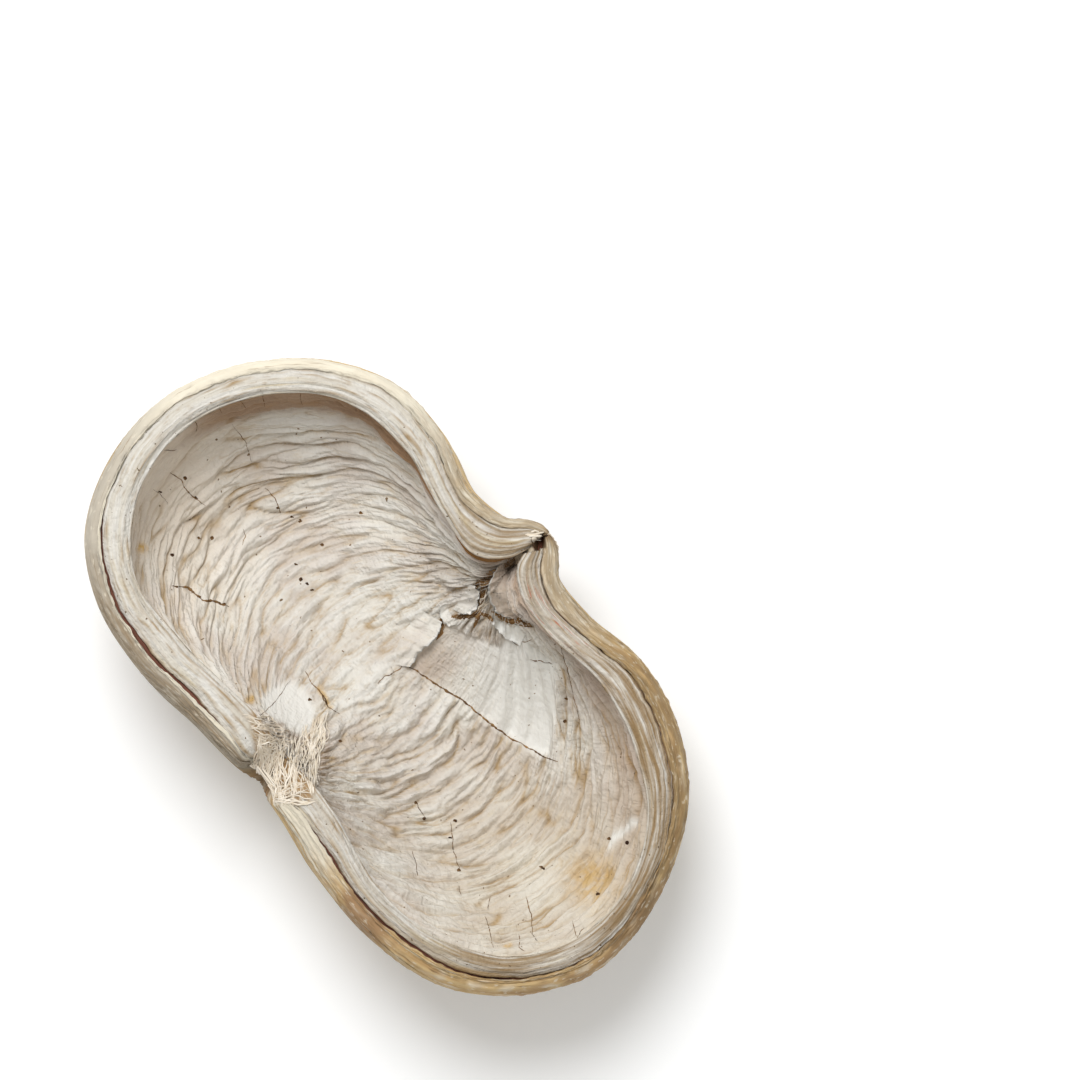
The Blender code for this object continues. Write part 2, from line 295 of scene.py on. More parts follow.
def grow(name, grids, facing, material, weld=True):
    """A piece from grids of points, each with named numbers or vectors for its points.

    facing is 1 or -1, for the side of the grids that shows. Each grid gets its own square of one
    sheet for texture coordinates.
    """
    places, quads, marks, sheets = [], [], {}, []
    cells = math.ceil(math.sqrt(len(grids)))
    first = 0
    for count, (points, named) in enumerate(grids):
        rows, columns = points.shape[:2]
        number = np.arange(rows * columns).reshape(rows, columns)
        corners = [number[:-1, :-1], number[:-1, 1:], number[1:, 1:], number[1:, :-1]]
        if facing > 0:
            corners.reverse()
        quads.append(np.stack(corners, axis=-1).reshape(-1, 4) + first)
        places.append(points.reshape(-1, 3))
        corner = np.array((count % cells, count // cells))
        spot = (number % columns / (columns - 1), number // columns / (rows - 1))
        spot = np.stack(spot, axis=-1)
        spot = SHEET_MARGIN + (1 - 2 * SHEET_MARGIN) * spot
        sheets.append(((corner + spot) / cells).reshape(-1, 2))
        for title, values in named.items():
            shape = points.shape if np.ndim(values) == 3 else points.shape[:2]
            values = np.broadcast_to(values, shape).reshape(rows * columns, -1)
            marks.setdefault(title, []).append(values)
        first += rows * columns
    quads = np.concatenate(quads)
    mesh = bpy.data.meshes.new(name)
    mesh.from_pydata(np.concatenate(places).tolist(), [], quads.tolist())
    sheet = np.concatenate(sheets)[quads.ravel()].astype(np.float32)
    mesh.uv_layers.new(name="OFBake").data.foreach_set("uv", sheet.ravel())
    for title, values in marks.items():
        values = np.concatenate(values)
        kind, field = ("FLOAT_VECTOR", "vector") if values.shape[1] == 3 else ("FLOAT", "value")
        layer = mesh.attributes.new(title, kind, "POINT")
        layer.data.foreach_set(field, np.ascontiguousarray(values, np.float32).ravel())
    return finish_piece(mesh, material, weld)


def finish_piece(mesh, material, weld):
    """Welds points that coincide, smooths the shading and fixes the piece to the pod."""
    if weld:
        shape = bmesh.new()
        shape.from_mesh(mesh)
        bmesh.ops.remove_doubles(shape, verts=shape.verts, dist=WELD)
        bmesh.ops.dissolve_degenerate(shape, dist=WELD, edges=shape.edges)
        loose = [vertex for vertex in shape.verts if not vertex.link_faces]
        bmesh.ops.delete(shape, geom=loose, context="VERTS")
        shape.to_mesh(mesh)
        shape.free()
    mesh.materials.append(material)
    mesh.shade_smooth()
    piece = put(mesh.name, mesh)
    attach(piece, "root")
    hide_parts("pod")
    print(f"{mesh.name}: {sum(len(face.vertices) - 2 for face in mesh.polygons)} triangles")
    return piece


# %% [markdown]
# ## The photograph's view
#
# Cracks, stains and torn flaps have no formula, so they are placed one by one. It is easiest to
# read their places off the photograph, in its pixels. The camera therefore comes before them. It
# looks straight down, and a line from it through a pixel meets the pod where the feature belongs.

# %% The camera, and places by pixel
PHOTO_SIDE = 1080
MM_PER_PIXEL = 0.1383
PHOTO_CENTRE = np.array((397.6, 670.0))
PHOTO_RIGHT = np.array((0.6490, 0.7608, 0.0))
PHOTO_DOWN = np.array((0.7608, -0.6490, 0.0))
RIM_LEVEL = 27.0 * MM
LENS = 150.0
SENSOR = 36.0


def on_rim_level(pixels):
    """The places at the rim's level that show at these pixels of the photograph."""
    apart = (np.asarray(pixels, float) - PHOTO_CENTRE) * MM_PER_PIXEL * MM
    flat = apart[..., :1] * PHOTO_RIGHT + apart[..., 1:] * PHOTO_DOWN
    return flat + (0, 0, RIM_LEVEL)


camera_distance = PHOTO_SIDE * MM_PER_PIXEL * MM * LENS / SENSOR
camera_place = on_rim_level((PHOTO_SIDE / 2, PHOTO_SIDE / 2)) + (0, 0, camera_distance)


def pixels_of(points):
    """The photograph's pixels at which these points show."""
    apart = (points - camera_place) * (camera_distance / (camera_place[2] - points[..., 2:]))
    apart = apart + camera_place
    flat = np.stack([apart @ PHOTO_RIGHT, apart @ PHOTO_DOWN], axis=-1)
    return flat / (MM_PER_PIXEL * MM) + PHOTO_CENTRE


def from_line(pixels, line):
    """How many pixels away a line of corners is."""
    nearest = np.full(pixels.shape[:-1], np.inf)
    for start, end in zip(np.array(line, float)[:-1], np.array(line, float)[1:]):
        run = end - start
        share = np.clip(((pixels - start) @ run) / (run @ run), 0, 1)
        gap = np.linalg.norm(pixels - start - share[..., None] * run, axis=-1)
        nearest = np.minimum(nearest, gap)
    return nearest


def in_outline(pixels, outline, blur):
    """1 inside an outline, 0 outside it, and smooth across its edge."""
    inside = np.zeros(pixels.shape[:-1], bool)
    x, y = pixels[..., 0], pixels[..., 1]
    closed = list(outline) + [outline[0]]
    for (x0, y0), (x1, y1) in zip(closed[:-1], closed[1:]):
        crosses = ((y0 > y) != (y1 > y)) & (x < (x1 - x0) * (y - y0) / (y1 - y0 + 1e-9) + x0)
        inside ^= crosses
    gap = from_line(pixels, closed)
    return smooth(0.5 + np.where(inside, gap, -gap) / blur / 2)


camera_data = bpy.data.cameras.new("camera")
camera_data.lens = LENS
camera_data.sensor_width = SENSOR
camera_data.clip_end = 10.0
camera = put("camera", camera_data)
camera.location = camera_place
axes = Matrix((PHOTO_RIGHT, -PHOTO_DOWN, np.cross(PHOTO_RIGHT, -PHOTO_DOWN))).transposed()
camera.rotation_euler = axes.to_euler()
bpy.context.scene.camera = camera
print("camera is", round(camera_distance / MM), "mm over the rim")

# %% [markdown]
# ## Colours and nodes
#
# Every finish here is dry plant tissue, so all of them are dull, with an index of refraction near
# 1.5. What tells them apart is colour and grain. Colours are written as sRGB hex values and
# turned to linear once.

# %% Helpers for materials
TISSUE_IOR = 1.5
MIX_FACTOR, MIX_FIRST, MIX_SECOND, MIX_RESULT = 0, 6, 7, 2


def linear(hex_colour):
    """An sRGB hex value as linear red, green, blue and alpha."""
    channels = [int(hex_colour[start : start + 2], 16) / 255 for start in (1, 3, 5)]
    return [c / 12.92 if c <= 0.04045 else ((c + 0.055) / 1.055) ** 2.4 for c in channels] + [1.0]


def add(tree, kind, settings=(), inputs=()):
    """Adds a node. inputs holds values to set, or other nodes' outputs to link."""
    made = tree.nodes.new("ShaderNode" + kind)
    for name, value in dict(settings).items():
        setattr(made, name, value)
    for name, value in dict(inputs).items():
        if isinstance(value, bpy.types.NodeSocket):
            tree.links.new(value, made.inputs[name])
        else:
            made.inputs[name].default_value = value
    return made


def tint(tree, amount, base, colour):
    """The base colour, turned towards a hex colour by an amount from 0 to 1."""
    base = linear(base) if isinstance(base, str) else base
    inputs = {MIX_FACTOR: amount, MIX_FIRST: base, MIX_SECOND: linear(colour)}
    return add(tree, "Mix", {"data_type": "RGBA"}, inputs).outputs[MIX_RESULT]


def between(tree, value, low, high):
    """0 where the value is below low, 1 above high, and smooth between."""
    settings = {"interpolation_type": "SMOOTHSTEP"}
    inputs = {"Value": value, "From Min": low, "From Max": high}
    return add(tree, "MapRange", settings, inputs).outputs["Result"]


def mark(tree, name, output="Fac"):
    """A number or vector that the mesh holds at each point."""
    return add(tree, "Attribute", {"attribute_name": name}).outputs[output]


def grain(tree, across_mm, along_mm, detail=3.0, shift=0.0):
    """Noise whose spots are across_mm wide and along_mm long on the piece's fibres."""
    inputs = {
        "Vector": mark(tree, "grain", "Vector"),
        "Location": (shift, shift * 0.7, 0.0),
        "Scale": (1 / across_mm, 1 / along_mm, 1 / across_mm),
    }
    stretched = add(tree, "Mapping", (), inputs).outputs["Vector"]
    inputs = {"Vector": stretched, "Scale": 1.0, "Detail": detail, "Roughness": 0.55}
    return add(tree, "TexNoise", (), inputs).outputs["Fac"]


def spots(tree, size_mm, detail=3.0, shift=0.0):
    """Noise in even spots about size_mm wide, by place on the pod."""
    place = add(tree, "TexCoord").outputs["Object"]
    moved = add(tree, "VectorMath", {"operation": "ADD"}, {0: place, 1: (shift, shift, 0.0)})
    inputs = {"Vector": moved.outputs[0], "Scale": 1 / (size_mm * MM), "Detail": detail}
    return add(tree, "TexNoise", (), inputs).outputs["Fac"]


def combined(tree, first, second, operation="MULTIPLY"):
    """Two amounts made one. The product is high only where both are."""
    return add(tree, "Math", {"operation": operation}, {0: first, 1: second}).outputs[0]


def layered(tree, colour, *layers):
    """A colour with other hex colours laid over it, each by its own amount."""
    for amount, over in layers:
        colour = tint(tree, amount, colour, over)
    return colour


def new_finish(name, roughness):
    """A material with a plain shader to build on, its tree and its shader."""
    material = bpy.data.materials.new(name)
    material.use_nodes = True
    shader = material.node_tree.nodes["Principled BSDF"]
    shader.inputs["IOR"].default_value = TISSUE_IOR
    shader.inputs["Specular IOR Level"].default_value = 0.3
    shader.inputs["Roughness"].default_value = roughness
    return material, material.node_tree, shader


def set_finish(tree, shader, colour, height, height_mm):
    """Links a colour and a bump of height_mm to the shader."""
    tree.links.new(colour, shader.inputs["Base Color"])
    inputs = {"Height": height, "Distance": height_mm * MM, "Strength": 1.0}
    tree.links.new(add(tree, "Bump", (), inputs).outputs["Normal"], shader.inputs["Normal"])


# %% [markdown]
# ## Finish: the papery lining
#
# The lining is endocarp, a dried membrane like parchment. It dried in the sun while the pod
# opened, so it is cream with a pink-grey cast. Tan dust and painted shade lie in its folds, and a
# painted highlight lies on their crests. Painted brown shade also lies under the left lip and near
# the stalk, painted light and a pinkish tone brighten the left wall, and a few glints are painted
# highlights. The mesh says where folds, stains, painted shade and painted light are, and the nodes
# give them their colours. Where the membrane is stretched and pale, it is also smoother.

# %% Sun-dried parchment
def sun_dried_parchment():
    material, tree, shader = new_finish("sun_dried_parchment", 0.65)
    veins = between(tree, grain(tree, 2.5, 5.0, shift=3.0), 0.30, 0.64)
    cloud = between(tree, spots(tree, 1.3, 5.0), 0.20, 0.62)
    threads = between(tree, grain(tree, 0.35, 2.5, shift=5.0), 0.35, 0.62)
    colour = layered(
        tree, "#DEDAD1",
        (between(tree, spots(tree, 9.0), 0.38, 0.62), "#CEC5BB"),
        (between(tree, grain(tree, 0.8, 3.0), 0.50, 0.80), "#CBBCA4"),
        # A painted highlight on the fold crests.
        (mark(tree, "crest"), "#E9E9E6"),
        (mark(tree, "warmth"), "#C8BDA6"),
        # A pinkish tone and painted light on the shaded left wall.
        (mark(tree, "rosy"), "#E7DCCD"),
        # Tan dust and painted shade in the fold valleys.
        (combined(tree, mark(tree, "fold"), veins), "#B19873"),
        # Painted brown shade under the lip, on steep walls, at the stalk and beside the flap.
        (mark(tree, "shade"), "#936A3C"),
        # The pale under layer and blob, and painted highlights at the glints.
        (mark(tree, "pale"), "#E3E3DF"),
        (combined(tree, mark(tree, "stain"), cloud), "#C8A668"),
        (combined(tree, mark(tree, "torn"), threads), "#7A5833"),
        (between(tree, spots(tree, 0.75, 1.0, shift=0.3), 0.75, 0.79), "#7C674D"),
    )
    crumple = combined(
        tree, grain(tree, 0.5, 1.3, 4.0), grain(tree, 1.6, 0.6, shift=8.0), "ADD")
    stretched = combined(tree, mark(tree, "pale"), 0.65)
    slack = combined(tree, 1.0, stretched, "SUBTRACT")
    set_finish(tree, shader, colour, combined(tree, crumple, slack), 0.36)
    return material


parchment = sun_dried_parchment()

# %% [markdown]
# ## Finish: the fibrous rim
#
# Where the pod split, its wall shows the cut ends of the fibre layers: mesocarp, bleached to
# ivory. Fibres lie along the rim, so streaks and ridges run along it too. It is browner with age
# near the stalk, and painted shade darkens its grooves, its right side and the hollow at the
# stalk.

# %% Sun-bleached fibre
def sun_bleached_fibre():
    material, tree, shader = new_finish("sun_bleached_fibre", 0.7)
    age_and_shade_streaks = between(tree, grain(tree, 0.7, 14.0, shift=12.0), 0.25, 0.65)
    reddened = between(tree, grain(tree, 0.5, 5.0, shift=15.0), 0.55, 0.70)
    threads = between(tree, grain(tree, 0.4, 2.5, shift=5.0), 0.30, 0.55)
    colour = layered(
        tree, "#E0DED8",
        (between(tree, grain(tree, 0.9, 20.0), 0.35, 0.70), "#CFC9BC"),
        (between(tree, grain(tree, 1.5, 16.0, shift=4.0), 0.55, 0.80), "#CCBD9A"),
        # Painted shade in the grooves between the ridges.
        (mark(tree, "groove"), "#A58C69"),
        (between(tree, grain(tree, 0.28, 9.0, 4.0, shift=9.0), 0.63, 0.84), "#A28B6B"),
        # Brown age, and painted shade on the right band, near the stalk and beside the crevice.
        (combined(tree, mark(tree, "age"), age_and_shade_streaks), "#8F7653"),
        (combined(tree, mark(tree, "blush"), reddened), "#B8684C"),
        (combined(tree, mark(tree, "torn"), threads), "#A5855C"),
        (mark(tree, "sunk"), "#8A5744"),
        # The dark brown of the torn neck, deepened by painted shade.
        (mark(tree, "hollow"), "#3B2312"),
        (between(tree, spots(tree, 0.6, 1.0, shift=0.9), 0.735, 0.77), "#6E5C45"),
    )
    plaster = combined(tree, spots(tree, 0.7, 5.0), 1.6)
    ridges = grain(tree, 0.25, 3.5, 5.0, shift=2.0)
    set_finish(tree, shader, colour, combined(tree, ridges, plaster, "ADD"), 0.26)
    return material


bleached = sun_bleached_fibre()

# %% [markdown]
# ## Finish: the weathered skin
#
# The skin, or epicarp, is the outer bark of the fruit. It is golden tan where it is whole, pale
# where it has weathered and grey on the outer flank of the left lobe. It is darker where it is
# worn, and painted shade darkens its flanks that face away from the lamp and the hollow at the
# stalk. Fine fibres show through it.

# %% Weathered skin
def weathered_skin():
    material, tree, shader = new_finish("weathered_skin", 0.72)
    worn = between(tree, grain(tree, 1.0, 5.0, 4.0, shift=11.0), 0.20, 0.60)
    unbleached = combined(tree, 1.50, mark(tree, "bleach"), "SUBTRACT")
    lines = between(tree, grain(tree, 0.30, 7.0, 4.0, shift=6.0), 0.56, 0.74)
    flakes = between(tree, grain(tree, 0.7, 1.7, 5.0, shift=7.0), 0.58, 0.66)
    colour = layered(
        tree, "#CDB07A",
        (between(tree, grain(tree, 0.8, 18.0), 0.35, 0.68), "#B48D54"),
        (between(tree, spots(tree, 14.0, 4.0), 0.50, 0.66), "#9A7245"),
        (mark(tree, "bleach"), "#E4DDCB"),
        (mark(tree, "grey"), "#B0A89B"),
        # Wear, and painted shade on the flanks turned from the lamp.
        (combined(tree, mark(tree, "worn"), worn), "#846C4A"),
        (combined(tree, lines, unbleached), "#826746"),
        (mark(tree, "sunk"), "#8A5744"),
        # The dark brown of the torn neck, deepened by painted shade.
        (mark(tree, "hollow"), "#5A3A1E"),
        (combined(tree, flakes, 0.5), "#DDD5C2"),
    )
    set_finish(tree, shader, colour, grain(tree, 0.24, 4.0, 5.0, shift=1.0), 0.16)
    return material


skin = weathered_skin()

# %% [markdown]
# ## Finish: the brown inside of the wall
#
# Where the tissue is torn, the unbleached wall shows: brown, stringy and without any gloss. It
# fills the cracks and the slits.

# %% Torn brown fibre
def torn_brown_fibre():
    material, tree, shader = new_finish("torn_brown_fibre", 0.9)
    colour = layered(
        tree, "#7A5733",
        (between(tree, grain(tree, 0.25, 2.0), 0.35, 0.65), "#B08C5C"),
        (mark(tree, "dark"), "#2F1C12"),
    )
    set_finish(tree, shader, colour, grain(tree, 0.2, 1.5, shift=4.0), 0.12)
    return material


brown = torn_brown_fibre()

# %% [markdown]
# ## Finish: loose bast fibre
#
# The strings at the tip are bast, the long fibres of the wall, combed out by the tear. They are
# cream like raw flax, and darker where dirt stuck to them. They are so thin that they need hardly
# any relief.

# %% Combed bast
def combed_bast():
    material, tree, shader = new_finish("combed_bast", 0.8)
    colour = layered(
        tree, "#DED3BF",
        (between(tree, grain(tree, 0.3, 1.5, 2.0), 0.35, 0.65), "#F0EAE0"),
        # On the strings this mark is only dirt and age.
        (mark(tree, "age"), "#A88C66"),
    )
    set_finish(tree, shader, colour, grain(tree, 0.1, 1.0, 2.0, shift=3.0), 0.01)
    return material


bast = combed_bast()

# %% [markdown]
# ## The lining
#
# The lining is one membrane from lip to lip. It shrank more slowly than the wood behind it, so it
# lies in folds that fan out from the stalk. Cloth simulation could crumple a sheet too, but here
# the folds must follow the meridians, so they are built as random waves that are long along the
# fibres, with sharp valleys and round tops. Where the membrane tore near the stalk, a smoother
# and paler under layer shows.

# %% Where the lining is pale, shaded, stained and torn, in the photograph's pixels
UNDER_LAYER = (
    (404, 665), (424, 650), (438, 637), (447, 622), (470, 636), (500, 645), (520, 620),
    (532, 642), (556, 662), (557, 700), (555, 730), (550, 757), (536, 752), (510, 738),
    (484, 719), (462, 700), (430, 680),
)
TIP_BLOB = (
    (260, 700), (272, 687), (290, 682), (306, 690), (314, 710), (313, 728), (303, 737), (292, 731),
    (276, 722), (264, 713),
)
STALK_SLIT = ((552, 536), (540, 548), (528, 556), (518, 561), (506, 568), (487, 577))
TORN_TIP = (
    (250, 712), (272, 712), (290, 733), (308, 738), (318, 722), (330, 745), (326, 775),
    (310, 800), (280, 806), (262, 796), (268, 772), (256, 760),
)
STAIN_PLACE = (592, 880)
CHIP_PLACES = ((508, 951), (250, 700), (142, 548))
STAINED_CRACK = ((319, 688), (324, 697), (330, 708))
# A pinkish tone and painted light on the shaded left wall.
ROSY_LIGHT_PLACE = (165, 480)
# The glints are painted highlights.
GLINTS = ((612, 846), (624, 834), (636, 822))

# %% Folds of the lining
LINING_ROWS = 212
LINING_COLUMNS = 920
FIBRE_SPAN_MM = 85.0
BOLD_SPACING_MM = 2.7
FINE_SPACING_MM = 1.2
BOLD_HEIGHT = 1.60 * MM
FINE_HEIGHT = 1.00 * MM
SWELL_HEIGHT = 0.35 * MM
PLEAT_HEIGHT = 0.80 * MM
CRUMPLE_HEIGHT = 0.22 * MM
UNDER_STEP = 0.35 * MM
# The hollow of the neck: how far along it reaches on the left and on the right, how far its
# edge takes to go down, and its depth.
NECK_REACH = (0.007, 0.014)
NECK_EDGE = 0.003
NECK_DEPTH_MM = 2.6


def ends_faded(along, pace):
    """0 at stalk and tip, and 1 away from them."""
    return smooth(pace * np.sin(math.pi * along))


def folds(across, u, v):
    """How high the folds stand, how deep each valley is and how high each crest, from 0 to 1."""
    # Wandering to the sides comes first: wide, then narrow, then a slight tremble.
    u = u + 1.3 * waves(u / 9, v / 10, 11) + 0.55 * waves(u / 3.5, v / 4.0, 12)
    u = u + 0.16 * waves(u / 1.6, v / 1.6, 18)
    # A wave without its sign has sharp valleys where it was zero, and round tops.
    bold = np.abs(waves(u / BOLD_SPACING_MM, v / 13, 13))
    fine = np.abs(waves(u / FINE_SPACING_MM, v / 6, 15))
    swell = waves(u / 6, v / 8, 14)
    # Folds are weaker in some areas, but never high on the right wall.
    strength = 0.55 + 0.45 * ramp(waves(u / 14, v / 18, 16), -0.65, 0.15)
    full = strength + (1 - strength) * ramp(across, 0.65, 0.85)
    strength = np.where(across > 0.0, full, strength)
    height = (BOLD_HEIGHT * np.sqrt(bold) * 0.8 + FINE_HEIGHT * fine) * strength
    height = height + SWELL_HEIGHT * swell
    # These amounts later paint tan dust and shade into the valleys and a highlight onto the
    # crests.
    valley = 0.9 * smooth(1 - bold / 0.10) + 0.5 * smooth(1 - fine / 0.08)
    valley = valley + 0.15 * smooth(1 - bold / 0.25)
    crest = ramp(bold + 0.5 * fine, 0.30, 0.70)
    return height, np.clip(valley * strength, 0, 1), crest


# %% The lining's points
across = np.linspace(-QUARTER, QUARTER, LINING_COLUMNS)[None, :]
along = np.linspace(0.004, 0.996, LINING_ROWS)[:, None]
lining_points = wall_at(across, along, 0.0)
middle_steps = np.gradient(lining_points[LINING_ROWS // 2], axis=0)
middle_mm = np.cumsum(np.linalg.norm(middle_steps, axis=-1)) / MM
print("lining from lip to lip, mm:", round(middle_mm[-1], 1))
lining_normals = square_to(lining_points)
across_mm = np.broadcast_to(middle_mm, (LINING_ROWS, LINING_COLUMNS))
across, along = np.broadcast_arrays(across, along)
along_mm = along * FIBRE_SPAN_MM
seen_at = pixels_of(lining_points)
under_layer = in_outline(seen_at, UNDER_LAYER, 5)
blob = in_outline(seen_at, TIP_BLOB, 5)
taut = np.clip(0.8 * under_layer + 0.9 * blob, 0, 1)
fold_height, valley_dust_and_shade, crest_highlight = folds(across, across_mm, along_mm)
from_lip = QUARTER - np.abs(across)
left_side = across < 0

# A strip under the lip is calm, and it is broader at the far end of the left lobe.
calm_reach = np.where(left_side, 0.15 + 0.60 * bell(along - 0.62, 0.18), 0.10)
past_calm = smooth((from_lip - 0.06) / calm_reach)
fade = ends_faded(along, 5.0) * (0.15 + 0.85 * past_calm) * (1 - taut)
pleats = PLEAT_HEIGHT * waves(across * 22, along * 5, 17) * under_layer
place_mm = lining_points[..., :2] / MM
crumple = waves(place_mm[..., 0] / 1.2, place_mm[..., 1] / 1.2, 19)
crumple = crumple + 0.5 * np.abs(waves(place_mm[..., 0] / 0.7, place_mm[..., 1] / 0.7, 20))
raised = (fold_height - 0.5 * MM) * fade + pleats
raised = raised + CRUMPLE_HEIGHT * crumple * ends_faded(along, 8.0) * (1 - 0.8 * taut)
raised = raised - UNDER_STEP * in_outline(seen_at, UNDER_LAYER, 1.5)
lining_points = lining_points + lining_normals * raised[..., None]
near_neck = np.where(left_side, NECK_REACH[0], NECK_REACH[1])
sinks = smooth((near_neck - along) / NECK_EDGE) * bell(from_lip, 0.5)
lining_points[..., 2] -= NECK_DEPTH_MM * MM * sinks
lining_normals = square_to(lining_points)

# %% Both halves of the lining
# Painted brown shade lies under the left lip, on the steep walls near the stalk, at the stalk
# itself and where the big flap shelters the under layer.
shelf = ramp(from_lip, 0.52, 0.38) * left_side * ramp(along, 0.56, 0.46)
right_wall = ramp(from_lip, 0.95, 0.45) * (across > 0) * ramp(along, 0.50, 0.35)
left_wall = ramp(from_lip, 0.90, 0.40) * left_side * ramp(along, 0.36, 0.21)
walls = right_wall + 0.3 * left_wall
sheltered = under_layer * ramp(seen_at[..., 0], 475, 415)
right_and_low = ramp(seen_at[..., 0], 330, 530) * ramp(seen_at[..., 1], 700, 850)
# Painted light and a pinkish tone brighten the shaded left wall.
rosy = bell(np.linalg.norm((seen_at - ROSY_LIGHT_PLACE) / (1, 1.6), axis=-1), 75) * left_side
stained = 0.9 * bell(np.linalg.norm(seen_at - STAIN_PLACE, axis=-1), 24)
for place in CHIP_PLACES:
    stained = stained + 1.6 * bell(np.linalg.norm(seen_at - place, axis=-1), 4)
stained = stained + 1.2 * bell(from_line(seen_at, STAINED_CRACK), 2.5)
torn = bell(from_line(seen_at, STALK_SLIT), 6) + 0.6 * in_outline(seen_at, TORN_TIP, 4)
pale_and_glints = 0.85 * under_layer * ramp(seen_at[..., 0], 440, 510) + 0.75 * blob
# The glints are painted highlights.
pale_and_glints = pale_and_glints + 0.85 * bell(from_line(seen_at, GLINTS), 4.5)
shaded = 0.75 * shelf + 0.35 * sheltered + 0.38 * walls + 0.35 * bell(along, 0.10)
lining_marks = {
    "grain": fibre_grain(across_mm, along_mm),
    # Tan dust and painted shade in the fold valleys, and a painted highlight on the crests.
    "fold": valley_dust_and_shade * fade,
    "crest": 0.35 * crest_highlight * fade,
    "shade": np.clip(shaded, 0, 1),
    "warmth": 0.35 * right_and_low,
    "rosy": 0.85 * rosy,
    "stain": np.clip(stained, 0, 1),
    "pale": np.clip(pale_and_glints, 0, 1),
    "torn": np.clip(torn * (1 - blob), 0, 1),
}
middle = LINING_COLUMNS // 2
halves = (("left_lining", slice(0, middle + 1)), ("right_lining", slice(middle, None)))
base_pieces = []
for name, half in halves:
    marks = {title: values[:, half] for title, values in lining_marks.items()}
    piece = grow(name, [(lining_points[:, half], marks)], 1, parchment, weld=False)
    normals = lining_normals[:, half].reshape(-1, 3)
    piece.data.normals_split_custom_set_from_vertices(normals.tolist())
    base_pieces.append(piece)

# %% [markdown]
# ## The rim
#
# The two edges of the seam are the rim. Each is a thick band of fibre with a thin sharp lip
# inside. Outside it the skin has come away, and a dark crevice shows between them. A section
# through the rim is swept along each edge, and the crevice opens and closes on the way.

# %% The rim's section and its crevice
# Each corner of a section has its angle across in degrees, its share of the wall and its rise in
# mm. A band's share runs from 0 at the lip to 1 at the crevice and 2 across the crevice's floor,
# and a skin edge's from 0 at the crevice to 1 at the brim.
RIM_ROWS = 900
BAND_SECTION = (
    (78.0, 0.13, -0.2), (84.0, 0.07, -0.1), (89.0, -0.02, -0.35), (90.0, -0.05, 0.00),
    (90.0, -0.03, 0.25), (90.0, 0.01, 0.02), (90.0, 0.06, 0.28), (90.0, 0.22, 0.78),
    (90.0, 0.40, 0.95), (90.0, 0.60, 0.80), (90.0, 0.78, 0.50), (90.0, 0.93, 0.15),
    (90.0, 1.00, -0.25), (90.0, 1.05, -0.55), (90.0, 1.95, -0.55),
)
EDGE_SECTION = (
    (90.0, 0.00, -0.60), (90.0, 0.00, -0.22), (90.0, 0.08, 0.20), (90.0, 0.35, 0.35),
    (90.0, 0.75, 0.15), (90.0, 1.00, -0.10), (85.0, 1.06, 0.00), (80.0, 1.08, 0.00),
    (75.0, 1.05, 0.00), (70.0, 0.98, 0.00),
)
BAND_COLUMNS = 52
EDGE_COLUMNS = 34
SEAM_RISE = 0.14
MM_PER_DEGREE = 0.45
# Along these stops, how wide the crevice gapes in mm, and where it is through the wall.
CREVICE_STOPS = (0.00, 0.08, 0.20, 0.35, 0.50, 0.58, 0.64, 0.72, 0.80, 0.88, 0.94, 1.00)
LEFT_GAP = (0.00, 0.00, 0.00, 0.00, 0.00, 0.00, 0.15, 0.45, 0.75, 0.60, 0.05, 0.00)
RIGHT_GAP = (0.00, 0.08, 0.10, 0.05, 0.03, 0.10, 0.30, 0.45, 0.55, 0.45, 0.05, 0.00)
LEFT_PLACE = (0.80, 0.84, 0.84, 0.88, 0.90, 0.90, 0.88, 0.85, 0.85, 0.85, 0.85, 0.85)
RIGHT_PLACE = (0.55, 0.62, 0.76, 0.80, 0.78, 0.76, 0.74, 0.72, 0.74, 0.78, 0.80, 0.80)


def swept(section, columns):
    """The section's across, share and rise at even steps round it, and the run so far in mm."""
    stops = np.array(section)
    run = np.hypot(np.diff(stops[:, 1]) * WALL / MM, np.diff(stops[:, 2]))
    run = run + np.abs(np.diff(stops[:, 0])) * MM_PER_DEGREE
    run = np.concatenate([[0.0], np.cumsum(run)])
    even = np.linspace(0, run[-1], columns)
    return [np.interp(even, run, stops[:, field]) for field in range(3)] + [even]


def crevice(along, side):
    """Where the crevice's two edges are through the wall, and how wide it is in mm."""
    width = np.interp(along, CREVICE_STOPS, LEFT_GAP if side < 0 else RIGHT_GAP)
    place = np.interp(along, CREVICE_STOPS, LEFT_PLACE if side < 0 else RIGHT_PLACE)
    width = width * (1 + 0.5 * waves(along * 40, 0.5, 21))
    place = place + 0.07 * waves(along * 22, 1.5 + side, 22) + 0.03 * waves(along * 90, 3.5, 23)
    half = width * MM / WALL / 2
    return place - half, place + half, width


# %% A band of fibre and a skin edge on either side
RIM_LENGTH_MM = 150.0
TEAR_START, TEAR_END = 0.968, 0.982
TEAR_THINS = 0.30
TEAR_DROP_MM = 1.0
IN_CREVICE_MM = 2.0


